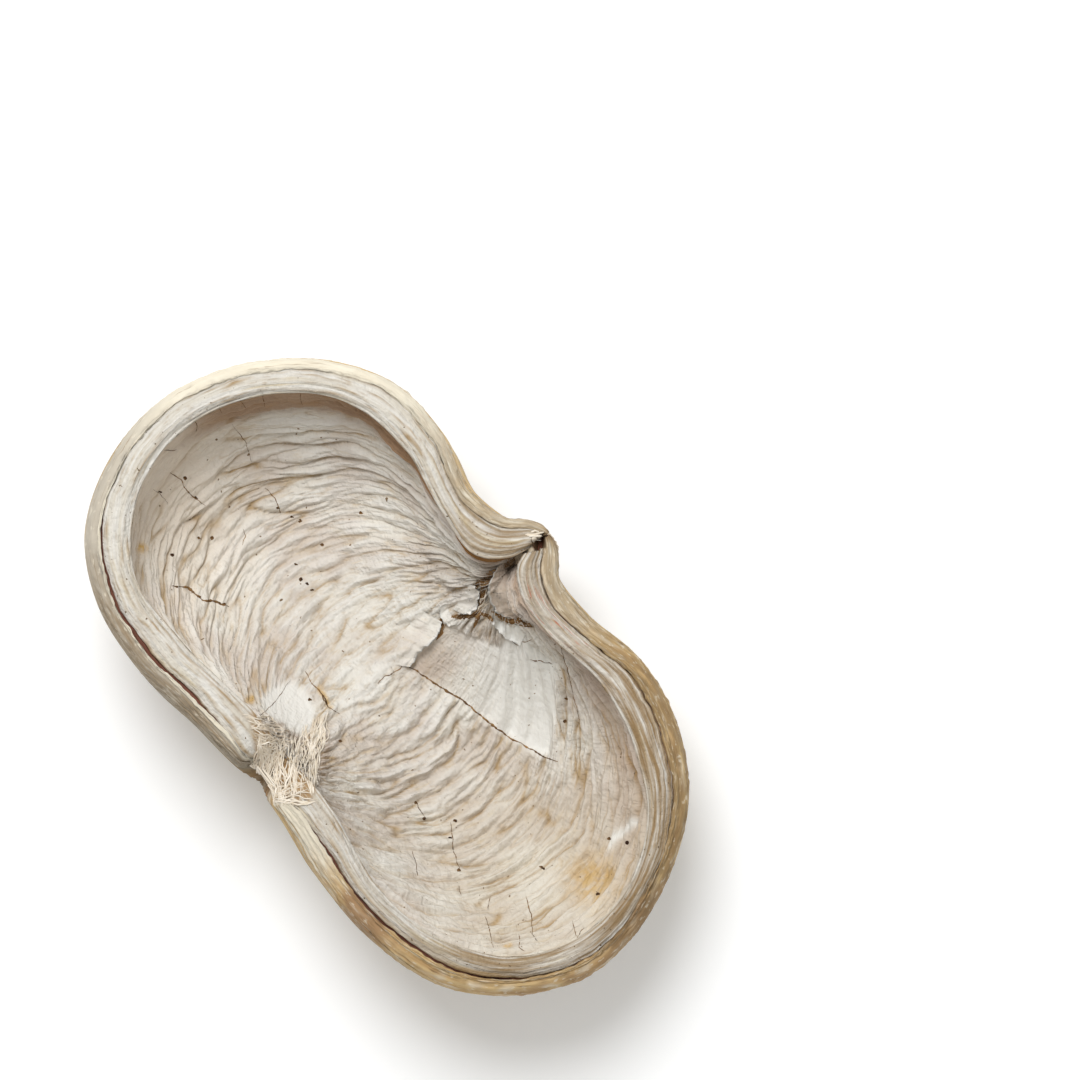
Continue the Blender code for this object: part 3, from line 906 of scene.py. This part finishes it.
def make_rim(side, name):
    """The band and the skin edge on one side: -1 for the left, 1 for the right."""
    left = side < 0
    along = np.linspace(0.001, 1.0, RIM_ROWS)[:, None]
    along_mm = along * RIM_LENGTH_MM
    inner, outer, width = crevice(along, side)
    opened = (0.05 if left else 0.15) + 0.85 * smooth(width / 0.6)
    gapes = smooth(width / 0.25)
    seam = (0.4 if left else 0.7) * smooth(waves(along * 14, 0.5, 25) + 0.6)
    thin = 0.3 + 0.7 * smooth(along * 60) * smooth((1 - along) * 30)
    blunt = (0.45 if left else 0.30) * bell(along - 0.010, 0.026)
    neck_reach = NECK_REACH[0] if left else NECK_REACH[1]
    torn_away = ramp(along, TEAR_START, TEAR_END) * (0.75 + 0.5 * waves(along * 300, 0.5, 24))

    def swept_wall(angle, share, rise, near_crevice, neck):
        """The section all along the rim, with level edges where the crevice is shut."""
        depth = np.where(near_crevice, SEAM_RISE + (rise - SEAM_RISE) * opened, rise) * thin
        depth = depth - TEAR_DROP_MM * torn_away - NECK_DEPTH_MM * neck
        return wall_at(side * np.radians(angle)[None, :], along, share, depth * MM)

    def ridged(base, ridge_mm):
        return base + square_to(base) * -side * (ridge_mm * MM * thin)[..., None]

    # The band of fibre, with long ridges and grooves along it.
    angle, share, rise, run = swept(BAND_SECTION, BAND_COLUMNS)
    past = np.maximum(share - 1, 0)
    share = np.where(share > 0, np.minimum(share, 1) * inner, share) + past * (outer - inner)
    near_crevice = (rise < SEAM_RISE) & (share > 0.5 * inner)
    share = share * (1 - TEAR_THINS * torn_away) * (1 + blunt)
    ragged = 0.0025 * waves(run / 0.5, 3.5 + side, 26)
    neck = smooth((neck_reach + ragged - along) / NECK_EDGE)
    base = swept_wall(angle, share, rise, near_crevice, neck)
    wide = np.abs(waves(run / 0.95, along_mm / 34 + side * 9, 31))
    narrow = np.abs(waves(run / 0.42 + 0.3 * waves(along_mm / 9, 0.5, 39), along_mm / 15, 32))
    ridge = 0.42 * np.sqrt(wide) + 0.22 * np.sqrt(narrow)
    ridge = ridge + 0.08 * waves(run / 0.22, along_mm / 5, 33)
    top = ramp(run, 2.2, 2.7)
    points = ridged(base, (ridge - 0.35) * top)
    # The grooves get painted shade.
    groove = 0.75 * smooth(1 - wide / 0.10) + 0.4 * smooth(1 - narrow / 0.09)
    sunk = ramp(-rise, 0.10, 0.60) * (share > 0.3) * gapes
    sunk = np.maximum(sunk, seam * bell(run[-1] - run, 0.25)) * (along < 0.97)
    # Brown age, with painted shade on the right band, near the stalk and beside the crevice.
    if left:
        age = 0.15 + 0.75 * ramp(along, 0.17, 0.05)
        blush = 0.0
    else:
        age = 0.90 * ramp(along, 0.12, 0.22) * ramp(along, 0.85, 0.55) + 0.30
        age = (age + 0.55 * bell(along, 0.10)) * (1 - 0.85 * bell(run - 6.8, 0.45))
        age = age + 0.5 * bell(share / inner - 0.95, 0.10) * ramp(along, 0.75, 0.65)
        blush = smooth(1 - np.abs(along - 0.10) * 12)
    marks = {
        "grain": fibre_grain(run + 60.0 * side, along_mm),
        # A thin line of painted shade runs along the band as well.
        "groove": np.clip(groove * top + 0.5 * bell(run - 3.6, 0.35), 0, 1),
        "sunk": sunk,
        "age": np.clip(age, 0, 1),
        "blush": blush,
        "torn": np.clip(0.9 * in_outline(pixels_of(points), TORN_TIP, 4) + torn_away, 0, 1),
        # The neck's hollow is painted dark brown: torn tissue, deepened by painted shade.
        "hollow": neck,
    }
    base_pieces.append(grow(name + "_band", [(points, marks)], -side, bleached))

    # The skin edge outside the crevice, with scales and short ridges.
    angle, share, rise, run = swept(EDGE_SECTION, EDGE_COLUMNS)
    near_crevice = (rise < SEAM_RISE) & (run < IN_CREVICE_MM)
    share = (outer + share * (1 - outer)) * (1 - TEAR_THINS * torn_away)
    share = share * (1 + blunt * ramp(angle, 70, 85))
    neck = smooth((neck_reach - along) / NECK_EDGE) * ramp(run, IN_CREVICE_MM, 1.0)
    base = swept_wall(angle, share, rise, near_crevice, neck)
    ridge = 0.22 * waves(run / 0.9, along_mm / 18, 35) + 0.16 * waves(run / 0.5, along_mm / 6, 36)
    ridge = ridge + 0.12 * waves(run / 0.8, along_mm / 1.7, 37)
    ridge = ridge + 0.08 * waves(run / 0.3, along_mm / 0.9, 38)
    points = ridged(base, ridge)
    sunk = ramp(-rise, 0.15, 0.75) * (run < 3.0) * gapes
    sunk = np.maximum(sunk, seam * bell(run, 0.25)) * (along < 0.97)
    # Wear, and painted shade on the right edge and the left lobe's lower outer flank.
    if left:
        worn = 0.10 + 0.6 * ramp(along, 0.66, 0.76) * ramp(run, 4.5, 5.5)
        pale = 0.95
    else:
        worn = 0.65 * ramp(along, 0.14, 0.22) * ramp(along, 0.60, 0.45) + 0.2
        pale = ramp(along, 0.84, 0.92) + 0.9 * ramp(along, 0.15, 0.09)
    worn = worn + 0.45 * ramp(along, 0.24, 0.12)
    pale = pale * (1 - 0.7 * bell(along, 0.012)) * (1 - 0.35 * ramp(along, 0.22, 0.10))
    flaky = 0.6 * smooth(waves(run / 1.2, along_mm / 3.5, 40) * 1.5 - 0.1)
    marks = {
        "grain": fibre_grain(run + 60.0 * side, along_mm),
        "sunk": sunk,
        "bleach": np.clip(0.1 + 0.9 * pale + flaky, 0, 1),
        "grey": 0.8 * left * ramp(along, 0.46, 0.60) * ramp(run, 3.4, 4.6),
        "worn": np.clip(worn, 0, 1),
        "hollow": np.clip(neck + 0.5 * bell(along, 0.006), 0, 1),
    }
    base_pieces.append(grow(name + "_skin_edge", [(points, marks)], -side, skin))


make_rim(-1, "left")
make_rim(1, "right")

# %% [markdown]
# ## The skin of the back
#
# The back is hardly seen from above, but it is what the hand feels. Its fibres make fine ridges
# that fan out from the stalk, with a few dents where the fruit shrank.

# %% The back
BACK_ROWS = 190
BACK_COLUMNS = 430
BACK_REACH = math.radians(84)
BACK_RADIUS_MM = 62.0

across = np.linspace(-1.0, 1.0, BACK_COLUMNS)[None, :] * BACK_REACH
along = np.linspace(0.002, 0.998, BACK_ROWS)[:, None]
back_points = wall_at(across, along, 1.0 - TEAR_THINS * ramp(along, TEAR_START, TEAR_END))
back_normals = -square_to(back_points)
across, along = np.broadcast_arrays(across, along)
u = across * BACK_RADIUS_MM
v = along * FIBRE_SPAN_MM
bent = u + 0.5 * waves(u / 9, v / 12, 41)
ribs = 0.30 * waves(bent / 1.5, v / 26, 42) + 0.16 * waves(bent / 0.8, v / 14, 43)
dents = -0.9 * smooth(waves(u / 12, v / 10, 44) * 1.6 - 0.55)
relief = (ribs + dents) * ends_faded(along, 6.0)
back_points = back_points + back_normals * (relief * MM)[..., None]
back_points[..., 2] = np.maximum(back_points[..., 2], 0.0)
back_marks = {
    "grain": fibre_grain(u, v),
    "bleach": 0.15 + 0.5 * smooth(waves(u / 20, v / 25, 45) + 0.4),
    "grey": 0.7 * smooth(1.6 * (-across - 0.5)) * smooth(3 * along - 1.2),
    # On the back this mark is only wear.
    "worn": 0.35 * smooth(waves(u / 16, v / 14, 46) + 0.3),
}
grow("back_skin", [(back_points, back_marks)], -1, skin)

# %% [markdown]
# ## The stalk
#
# The fruit hung from a short stalk, which curls down under the beak. Its fibres run on into the
# skin. It ends in a flared scar with a pith in the middle, where it let go of the tree. A rod with
# its rings listed one by one is enough, because it is short and has no branches.

# %% Neck, stalk and scar
# Each ring's middle and its radius, in mm from the level mouth's middle.
STALK_RINGS = (
    (0.1, 27.6, -2.6, 0.05), (0.1, 27.5, -2.4, 0.8), (0.2, 27.3, -1.8, 1.3),
    (0.3, 27.2, -1.0, 1.7), (0.4, 27.1, -0.9, 2.0), (0.4, 26.9, -1.3, 2.4),
    (0.4, 26.4, -2.8, 2.9), (0.3, 25.9, -5.2, 3.2), (0.2, 25.6, -8.5, 3.2),
    (0.0, 25.4, -12.5, 2.7), (0.0, 25.3, -16.0, 2.8), (0.0, 25.3, -18.0, 3.3),
    (0.0, 25.3, -19.0, 3.6), (0.0, 25.2, -19.6, 3.3), (0.0, 25.2, -19.5, 2.5),
    (0.0, 25.2, -19.1, 1.8), (0.0, 25.2, -19.2, 0.9), (0.0, 25.2, -19.3, 0.05),
)
NECK_RING, SCAR_RING, PITH_RING = 4, 12, 14
STALK_ROWS = 90
STALK_COLUMNS = 97
STALK_RADIUS_MM = 3.0

stops = np.array(STALK_RINGS)
run = run_along(stops)
down_stalk = np.linspace(0, run[-1], STALK_ROWS)
ring = np.stack([np.interp(down_stalk, run, stops[:, field]) for field in range(4)], axis=-1)
ring = ring[:, None, :]
down_stalk = down_stalk[:, None]
turn = np.linspace(0, 2 * math.pi, STALK_COLUMNS)[None, :]
around = np.cos(turn) * STALK_RADIUS_MM
beside = np.sin(turn) * STALK_RADIUS_MM
rib = 0.10 * waves(around * 1.6 + 20, beside * 1.6 + down_stalk / 22, 51)
rib = rib + 0.05 * waves(around * 3.5, beside * 3.5 + down_stalk / 9, 52)
radius = ring[..., 3] * (1 + rib * ramp(down_stalk, 2.0, 4.0))
lean = 0.45 * np.sin(turn) * ramp(down_stalk, 11.0, 3.0)
unevenness = 0.12 * waves(around, beside + 9.0, 53) * (radius / STALK_RADIUS_MM)
stalk_points = np.stack([
    ring[..., 0] + radius * np.cos(turn),
    ring[..., 1] + radius * np.sin(turn) * 0.9,
    ring[..., 2] + unevenness - lean * radius,
], axis=-1) * MM
scar = ramp(down_stalk, run[SCAR_RING], run[SCAR_RING] + 1.0)
pith = ramp(down_stalk, run[PITH_RING], run[PITH_RING] + 0.5)
# Painted shade darkens the rings up under the beak.
hollow = ramp(down_stalk, run[NECK_RING] + 0.2, run[NECK_RING] - 0.6)
stalk_marks = {
    "grain": fibre_grain(turn * STALK_RADIUS_MM, down_stalk),
    "sunk": np.clip(0.55 * pith + hollow, 0, 1),
    "bleach": 0.25 + 0.6 * scar + 0.5 * ramp(down_stalk, 9.0, 5.0),
    "grey": 0.35 * scar,
    "worn": 0.3,
}
grow("stalk", [(settle(stalk_points), stalk_marks)], -1, skin)

# %% [markdown]
# ## Places on the pod for what is torn
#
# A tree of all the faces made so far answers where a line of sight meets the pod. Cracks, flaps
# and strings are then laid on the real surface, and lifted a little from it.

# %% Lines of sight
corners, faces, first = [], [], 0
for piece in base_pieces:
    flat = np.empty(len(piece.data.vertices) * 3, np.float32)
    piece.data.vertices.foreach_get("co", flat)
    corners += flat.reshape(-1, 3).tolist()
    faces += [[first + corner for corner in face.vertices] for face in piece.data.polygons]
    first = len(corners)
sight = BVHTree.FromPolygons(corners, faces)
print("faces to lay things on:", len(faces))


def lay(pixels, lift=0.0):
    """Points of the pod seen at these pixels, lifted in metres from it."""
    pixels = np.asarray(pixels, float)
    aims = on_rim_level(pixels).reshape(-1, 3)
    lifts = np.broadcast_to(lift, pixels.shape[:-1]).ravel()
    eye = Vector(camera_place)
    found = []
    for aim, up in zip(aims, lifts):
        place, normal, _, _ = sight.ray_cast(eye, (Vector(aim) - eye).normalized())
        if place is None:
            place, normal, _, _ = sight.find_nearest(Vector(aim))
        found.append(place + normal * float(up))
    return np.array(found).reshape(pixels.shape[:-1] + (3,))


def along_line(line, count):
    """Points at even steps of a line through pixels, and the way to its left."""
    line = np.array(line, float)
    run = run_along(line)
    even = np.linspace(0, run[-1], count)
    points = np.stack([np.interp(even, run, line[:, field]) for field in (0, 1)], axis=-1)
    way = np.gradient(points, axis=0)
    way = way / np.linalg.norm(way, axis=1, keepdims=True)
    return points, np.stack([way[:, 1], -way[:, 0]], axis=-1), run[-1]


def evened(heights, times):
    """Heights evened out with their neighbours', down the rows and across any columns."""
    heights = heights.copy()
    for _ in range(times):
        heights[1:-1] = (heights[:-2] + 2 * heights[1:-1] + heights[2:]) / 4
        if heights.ndim == 2:
            heights[:, 1:-1] = (heights[:, :-2] + 2 * heights[:, 1:-1] + heights[:, 2:]) / 4
    return heights


# %% [markdown]
# ## Cracks
#
# The dry lining cracked across and along its folds. Each crack shows the brown wall behind. The
# opening is too narrow for the lining's own grid, so it is laid on as a thin brown sliver with
# ragged sides.

# %% Slivers for the cracks
# Each crack's width and corners, in pixels of the photograph.
CRACKS = (
    (1.9, ((396, 661), (404, 664), (416, 671), (430, 680), (446, 691), (462, 700), (484, 719),
           (497, 729), (510, 738), (522, 744), (536, 752), (546, 758), (558, 761))),
    (1.0, ((305, 671), (312, 684), (319, 690), (324, 700), (329, 708), (340, 714))),
    (1.4, ((319, 690), (323, 695), (328, 704))),
    (1.0, ((170, 472), (181, 480), (184, 487), (192, 496), (205, 506))),
    (0.9, ((265, 488), (275, 498), (281, 513))),
    (2.4, ((172, 586), (188, 587), (195, 594), (203, 600), (214, 601), (229, 607))),
    (0.8, ((378, 684), (384, 677), (392, 674), (400, 668), (405, 661))),
    (0.7, ((416, 801), (421, 812), (425, 818))),
    (0.8, ((450, 822), (452, 832), (453, 848), (460, 871))),
    (0.7, ((459, 886), (461, 896))),
    (0.8, ((485, 916), (489, 929), (493, 948))),
    (0.9, ((526, 896), (531, 914), (533, 934))),
    (0.7, ((412, 851), (416, 862), (418, 876))),
    (0.6, ((439, 604), (441, 612), (446, 624), (440, 636))),
    (1.1, ((493, 619), (500, 629), (510, 640), (518, 646))),
    (1.2, ((498, 612), (508, 620), (518, 625), (534, 627))),
    (1.1, ((530, 660), (540, 661), (552, 664))),
    (0.6, ((516, 642), (524, 642), (532, 640))),
    (0.6, ((558, 640), (566, 664), (572, 690), (580, 720))),
    (0.6, ((296, 797), (306, 796), (316, 799))),
    (0.5, ((260, 716), (275, 702), (290, 681))),
    (0.6, ((214, 399), (218, 406), (222, 413))),
    (0.6, ((238, 393), (240, 401), (246, 409))),
    (0.7, ((262, 391), (264, 400), (265, 407))),
    (0.6, ((193, 418), (197, 424), (196, 432))),
    (0.6, ((164, 450), (170, 451), (177, 450))),
    (0.5, ((232, 424), (238, 432), (247, 444), (251, 462))),
    (0.5, ((300, 388), (300, 396), (303, 405))),
    (0.5, ((352, 398), (356, 406), (356, 412))),
    (0.6, ((243, 529), (245, 536), (242, 545))),
    (0.5, ((153, 489), (160, 494), (168, 503))),
    (0.8, ((519, 934), (520, 941), (519, 947), (525, 951))),
    (0.7, ((572, 920), (574, 927), (575, 934), (578, 938))),
    (0.7, ((530, 931), (534, 937), (538, 941))),
    (0.6, ((584, 928), (580, 932), (577, 938))),
    (0.7, ((491, 896), (489, 903), (488, 910))),
)
# The specks' places in pixels. Each is laid as a very short sliver.
SPECKS = (
    (199, 538), (212, 538), (160, 492), (172, 555), (292, 517), (300, 521), (322, 545), (361, 513),
    (296, 564), (301, 579), (307, 584), (312, 590), (416, 803), (424, 818), (455, 821), (450, 838),
    (459, 870), (543, 869), (609, 839), (598, 894), (185, 478), (196, 498), (278, 508), (224, 604),
    (199, 597), (566, 699), (565, 721), (310, 700), (340, 741), (627, 843), (541, 867),
)
SPECK_WIDTH = 2.8
SPECK_SEED = 40
SLIVER_STEP = 1.2


def sliver(width, line, number, dark=0.5):
    """A thin ragged strip on a line of pixels, width pixels wide in its middle.

    The number gives each strip its own random waves.
    """
    length = run_along(np.array(line, float))[-1]
    line_points, left, length = along_line(line, max(8, int(length / SLIVER_STEP)))
    step = np.linspace(0, 1, len(line_points))
    wander = 0.8 * waves(step * length / 5, number + 0.5, 61)
    half = width / 2 * (0.25 + 0.75 * np.sin(math.pi * step) ** 0.5)
    half = half * (1 + 0.8 * waves(step * length / 2.5, number + 0.5, 62))
    side = np.linspace(-1, 1, 4 if width < 3 else 9)[None, :, None]
    middle_line = line_points + left * wander[:, None]
    pixels = middle_line[:, None] + side * (left * half[:, None])[:, None]
    middle = 1 - np.abs(side[..., 0])
    points = lay(pixels, (0.01 + 0.05 * (middle > 0.1)) * MM)
    darkness = (dark + 0.5 * waves(step * length / 6, number + 0.5, 63))[:, None] + 0 * middle
    run = (step * length * MM_PER_PIXEL)[:, None]
    grain_mm = fibre_grain(side[..., 0] * width * MM_PER_PIXEL / 2, run)
    return points, {"grain": grain_mm, "dark": np.clip(darkness, 0, 1)}


slivers = [sliver(width, line, number) for number, (width, line) in enumerate(CRACKS)]
for number, (x, y) in enumerate(SPECKS, SPECK_SEED):
    line = ((x - 1.9, y - 0.5), (x, y), (x + 1.9, y + 0.6))
    slivers.append(sliver(SPECK_WIDTH, line, number, 0.7))
grow("cracks", slivers, 1, brown)

# %% [markdown]
# ## The tear at the stalk
#
# At the stalk the lining pulled away when the pod opened. It left a brown slit, loose flaps of
# lining and broken fibres. A flap is a sheet between two lines of pixels. It hangs on one of them
# and stands up at the other, where it is torn, and its torn edge is as thick as the membrane.

# %% Brown slit and loose flaps
# Each slit's width and corners, in pixels.
SLITS = (
    (8.0, ((541, 540), (534, 546), (526, 553), (518, 559), (508, 564), (497, 571))),
    (7.0, ((504, 566), (497, 571), (488, 577), (480, 583), (472, 588))),
    (6.0, ((490, 577), (486, 585), (483, 593), (481, 602), (478, 610))),
    (5.0, ((444, 614), (452, 617), (461, 617), (470, 616), (480, 613), (488, 616), (494, 622))),
    (5.0, ((492, 611), (501, 618), (510, 621), (520, 620), (532, 627))),
    (3.5, ((482, 612), (477, 620), (474, 628))),
    (3.0, ((436, 640), (441, 634), (443, 626), (441, 617))),
)
SLIT_SEED = 80
# Each flap's lift in mm, how pale it is, how much painted shade it has, its torn line and its
# fixed line.
FLAPS = (
    (0.9, 0.15, 0.0,
     ((442, 622), (441, 629), (438, 636), (432, 643), (425, 648), (418, 655), (411, 667)),
     ((410, 604), (402, 610), (396, 618), (390, 628), (386, 638), (384, 650), (388, 664))),
    (0.8, 0.5, 0.0,
     ((475, 586), (479, 592), (478, 600), (477, 608), (470, 614), (461, 613)),
     ((466, 583), (460, 586), (455, 590), (452, 595), (450, 601), (449, 607))),
    (0.6, 0.5, 0.0,
     ((440, 606), (440, 613), (443, 621), (449, 626), (455, 624)),
     ((450, 604), (453, 607), (456, 611), (459, 615), (461, 619))),
    (0.9, 0.1, 0.45,
     ((499, 566), (493, 574), (489, 583), (488, 592), (490, 602), (495, 611), (504, 616),
      (514, 618)),
     ((506, 562), (512, 568), (517, 576), (521, 585), (524, 594), (526, 602), (526, 610),
      (522, 617))),
    (0.5, 0.9, 0.0,
     ((492, 624), (498, 631), (505, 638), (512, 642), (520, 645)),
     ((497, 615), (505, 619), (513, 620), (521, 622), (528, 629))),
)
FLAP_ROWS, FLAP_COLUMNS, UNDER_COLUMNS = 50, 26, 4
MEMBRANE = 0.13 * MM


def flap(lift_mm, pale, shade, torn_line, fixed_line, number):
    """A sheet of lining that hangs on its fixed line and stands up along its torn line."""
    torn_points, left, length = along_line(torn_line, FLAP_ROWS)
    step = np.linspace(0, 1, FLAP_ROWS)
    ragged = 1.3 * waves(step * length / 4, number + 0.5, 71)
    ragged = ragged + 0.7 * waves(step * length / 1.6, number + 0.5, 72)
    torn_points = torn_points + left * ragged[:, None]
    fixed_points = along_line(fixed_line, FLAP_ROWS)[0]
    # The last columns turn back under the torn edge and give it the membrane's thickness.
    turned_under = 1 - np.linspace(0.01, 0.12, UNDER_COLUMNS)
    share = np.concatenate([np.linspace(0, 1, FLAP_COLUMNS), turned_under])[None, :, None]
    pixels = fixed_points[:, None] * (1 - share) + torn_points[:, None] * share
    points = lay(pixels)
    height = evened(points[..., 2], 12)
    share = share[..., 0]
    free = ramp(share, 0.15, 0.45)
    height = np.maximum(height, points[..., 2] + 0.02 * MM) * free
    height = height + (points[..., 2] - 0.35 * MM) * (1 - free)
    curl = share ** 2.5 * (1 + 0.5 * waves(step * length / 9, number + 1.5, 73))[:, None]
    pleat = 0.12 * waves((step * length / 5)[:, None], share * 2, 74) * share
    height = height + (lift_mm * curl + pleat + 0.01) * MM
    height[:, FLAP_COLUMNS:] -= MEMBRANE
    points[..., 2] = height
    if square_to(points)[:, :FLAP_COLUMNS, 2].mean() < 0:
        points = points[::-1]
    run = (step * length * MM_PER_PIXEL)[:, None]
    edge = ramp(share, 0.93, 0.99)
    return points, {
        "grain": fibre_grain(run + 9 * number, share * 4),
        "pale": pale + (1 - pale) * edge,
        "shade": shade * (1 - edge),
    }


slits = [sliver(*values, number, 0.35) for number, values in enumerate(SLITS, SLIT_SEED)]
grow("slits", slits, 1, brown)
grow("flaps", [flap(*values, number) for number, values in enumerate(FLAPS)], 1, parchment)

# %% [markdown]
# ## Torn fibres
#
# At the tip the wall tore open and left a tangle of bleached fibres. A few more cross the slit at
# the stalk and fray the beak. Hair curves would be quicker, but strings made as thin tubes can be
# exported. Each one is drawn at random between two lines of pixels and follows what it lies on.

# %% Strings at the tip and at the stalk
STRING_ROWS = 18
STRING_COLUMNS = 7
LINE_STOPS = 60
# Each bundle's count, the strings' radius in mm, their bend in pixels and the two lines.
BUNDLES = (
    (84, 0.11, 3.5, ((258, 734), (270, 740), (284, 736), (298, 738), (312, 732), (322, 724)),
     ((256, 794), (266, 802), (280, 806), (294, 806), (308, 800), (318, 784))),
    (34, 0.10, 4.0, ((242, 710), (248, 722), (254, 736), (258, 748)),
     ((276, 722), (292, 734), (290, 746), (278, 758))),
    (30, 0.10, 3.5, ((304, 726), (312, 722), (322, 716), (330, 712)),
     ((300, 772), (308, 766), (316, 758), (324, 748))),
    (14, 0.11, 2.5, ((264, 792), (266, 796), (270, 800), (274, 803)),
     ((298, 780), (306, 784), (312, 792), (316, 802))),
    (8, 0.07, 1.5, ((478, 584), (486, 588), (490, 598), (488, 610)),
     ((470, 592), (476, 600), (480, 608), (476, 618))),
    (9, 0.12, 0.8, ((524, 535), (528, 537), (532, 539)), ((542, 532), (544, 535), (542, 540))),
)


def string(start, end, radius_mm, bend, draw):
    """A thin tube from one pixel to another, bent to both sides on the way."""
    step = np.linspace(0, 1, STRING_ROWS)
    apart = end - start
    sideways = np.array((-apart[1], apart[0])) / np.linalg.norm(apart)
    phase, pace, lean = draw.uniform(0, 2 * math.pi), draw.uniform(0.6, 1.6), draw.normal(0, bend)
    sway = lean * np.sin(math.pi * step) + 0.4 * bend * np.sin(2 * math.pi * pace * step + phase)
    sway = sway + 0.22 * bend * np.sin(6 * math.pi * pace * step + 2 * phase)
    cut = draw.uniform(0, 0.45, 2) * (draw.random(2) < 0.50)
    reach = cut[0] + (1 - cut.sum()) * step
    pixels = start + apart * reach[:, None] + sideways * (sway * np.sin(math.pi * step))[:, None]
    height = radius_mm * 0.5 + draw.uniform(0.0, 0.25) * np.sin(math.pi * step)
    centre = lay(pixels)
    centre[:, 2] = np.maximum(evened(centre[:, 2], 4), centre[:, 2]) + height * MM
    way = np.gradient(centre, axis=0)
    way = way / np.linalg.norm(way, axis=1, keepdims=True)
    side = np.cross(way, (0, 0, 1))
    side = side / np.linalg.norm(side, axis=1, keepdims=True)
    top = np.cross(side, way)
    turn = np.linspace(0, 2 * math.pi, STRING_COLUMNS)[None, :, None]
    tapered = 0.35 + 0.65 * np.sin(math.pi * step) ** 0.4
    radius = radius_mm * MM * draw.uniform(0.6, 1.3) * tapered
    round_it = np.cos(turn) * side[:, None] + np.sin(turn) * top[:, None]
    points = centre[:, None] + radius[:, None, None] * round_it
    run = np.linalg.norm(apart) * MM_PER_PIXEL * step[:, None]
    age = draw.uniform(0.0, 0.35)
    return points, {"grain": fibre_grain(turn[..., 0] * 0.2 + 30 * age, run), "age": age}


draw = np.random.default_rng(91)
strings = []
for count, radius_mm, bend, start_line, end_line in BUNDLES:
    starts = along_line(start_line, LINE_STOPS)[0]
    ends = along_line(end_line, LINE_STOPS)[0]
    for _ in range(count):
        at = draw.integers(0, LINE_STOPS)
        across_to = int(np.clip(at + draw.normal(0, 9), 0, LINE_STOPS - 1))
        start = starts[at] + draw.normal(0, 1.2, 2)
        end = ends[across_to] + draw.normal(0, 1.2, 2)
        strings.append(string(start, end, radius_mm, bend, draw))
grow("torn_fibres", strings, 1, bast)

# %% [markdown]
# ## The stage
#
# The pod lies on a plain white table under one big soft lamp, with a little light from all sides.

# %% Table, lamp and room
TABLE_REACH = 1.5
LAMP_SIZE = 0.45
LAMP_WATTS = 6.25
LAMP_UP, LAMP_LEFT, LAMP_HEIGHT = 0.44, 0.12, 0.80
ROOM_STRENGTH = 0.64

table_data = bpy.data.meshes.new("table")
corners = [(x * TABLE_REACH, y * TABLE_REACH, 0) for x, y in ((-1, -1), (1, -1), (1, 1), (-1, 1))]
table_data.from_pydata(corners, [], [(0, 1, 2, 3)])
table, _, table_shader = new_finish("white_painted_table", 0.8)
table_shader.inputs["Base Color"].default_value = linear("#F8FAFC")
table_data.materials.append(table)
floor = put("table", table_data)

# The lamp hangs over the picture's upper edge, a little to its left.
lamp_data = bpy.data.lights.new("soft_lamp", "AREA")
lamp_data.shape = "DISK"
lamp_data.size = LAMP_SIZE
lamp_data.energy = LAMP_WATTS
lamp = put("soft_lamp", lamp_data)
lamp.location = -PHOTO_DOWN * LAMP_UP - PHOTO_RIGHT * LAMP_LEFT + (0, 0, LAMP_HEIGHT)
lamp.rotation_euler = (-lamp.location).to_track_quat("-Z", "Y").to_euler()

world = bpy.data.worlds.new("white_room")
world.use_nodes = True
world.node_tree.nodes["Background"].inputs["Color"].default_value = linear("#FFFDF9")
world.node_tree.nodes["Background"].inputs["Strength"].default_value = ROOM_STRENGTH
bpy.context.scene.world = world
bpy.context.scene.view_settings.view_transform = "Standard"
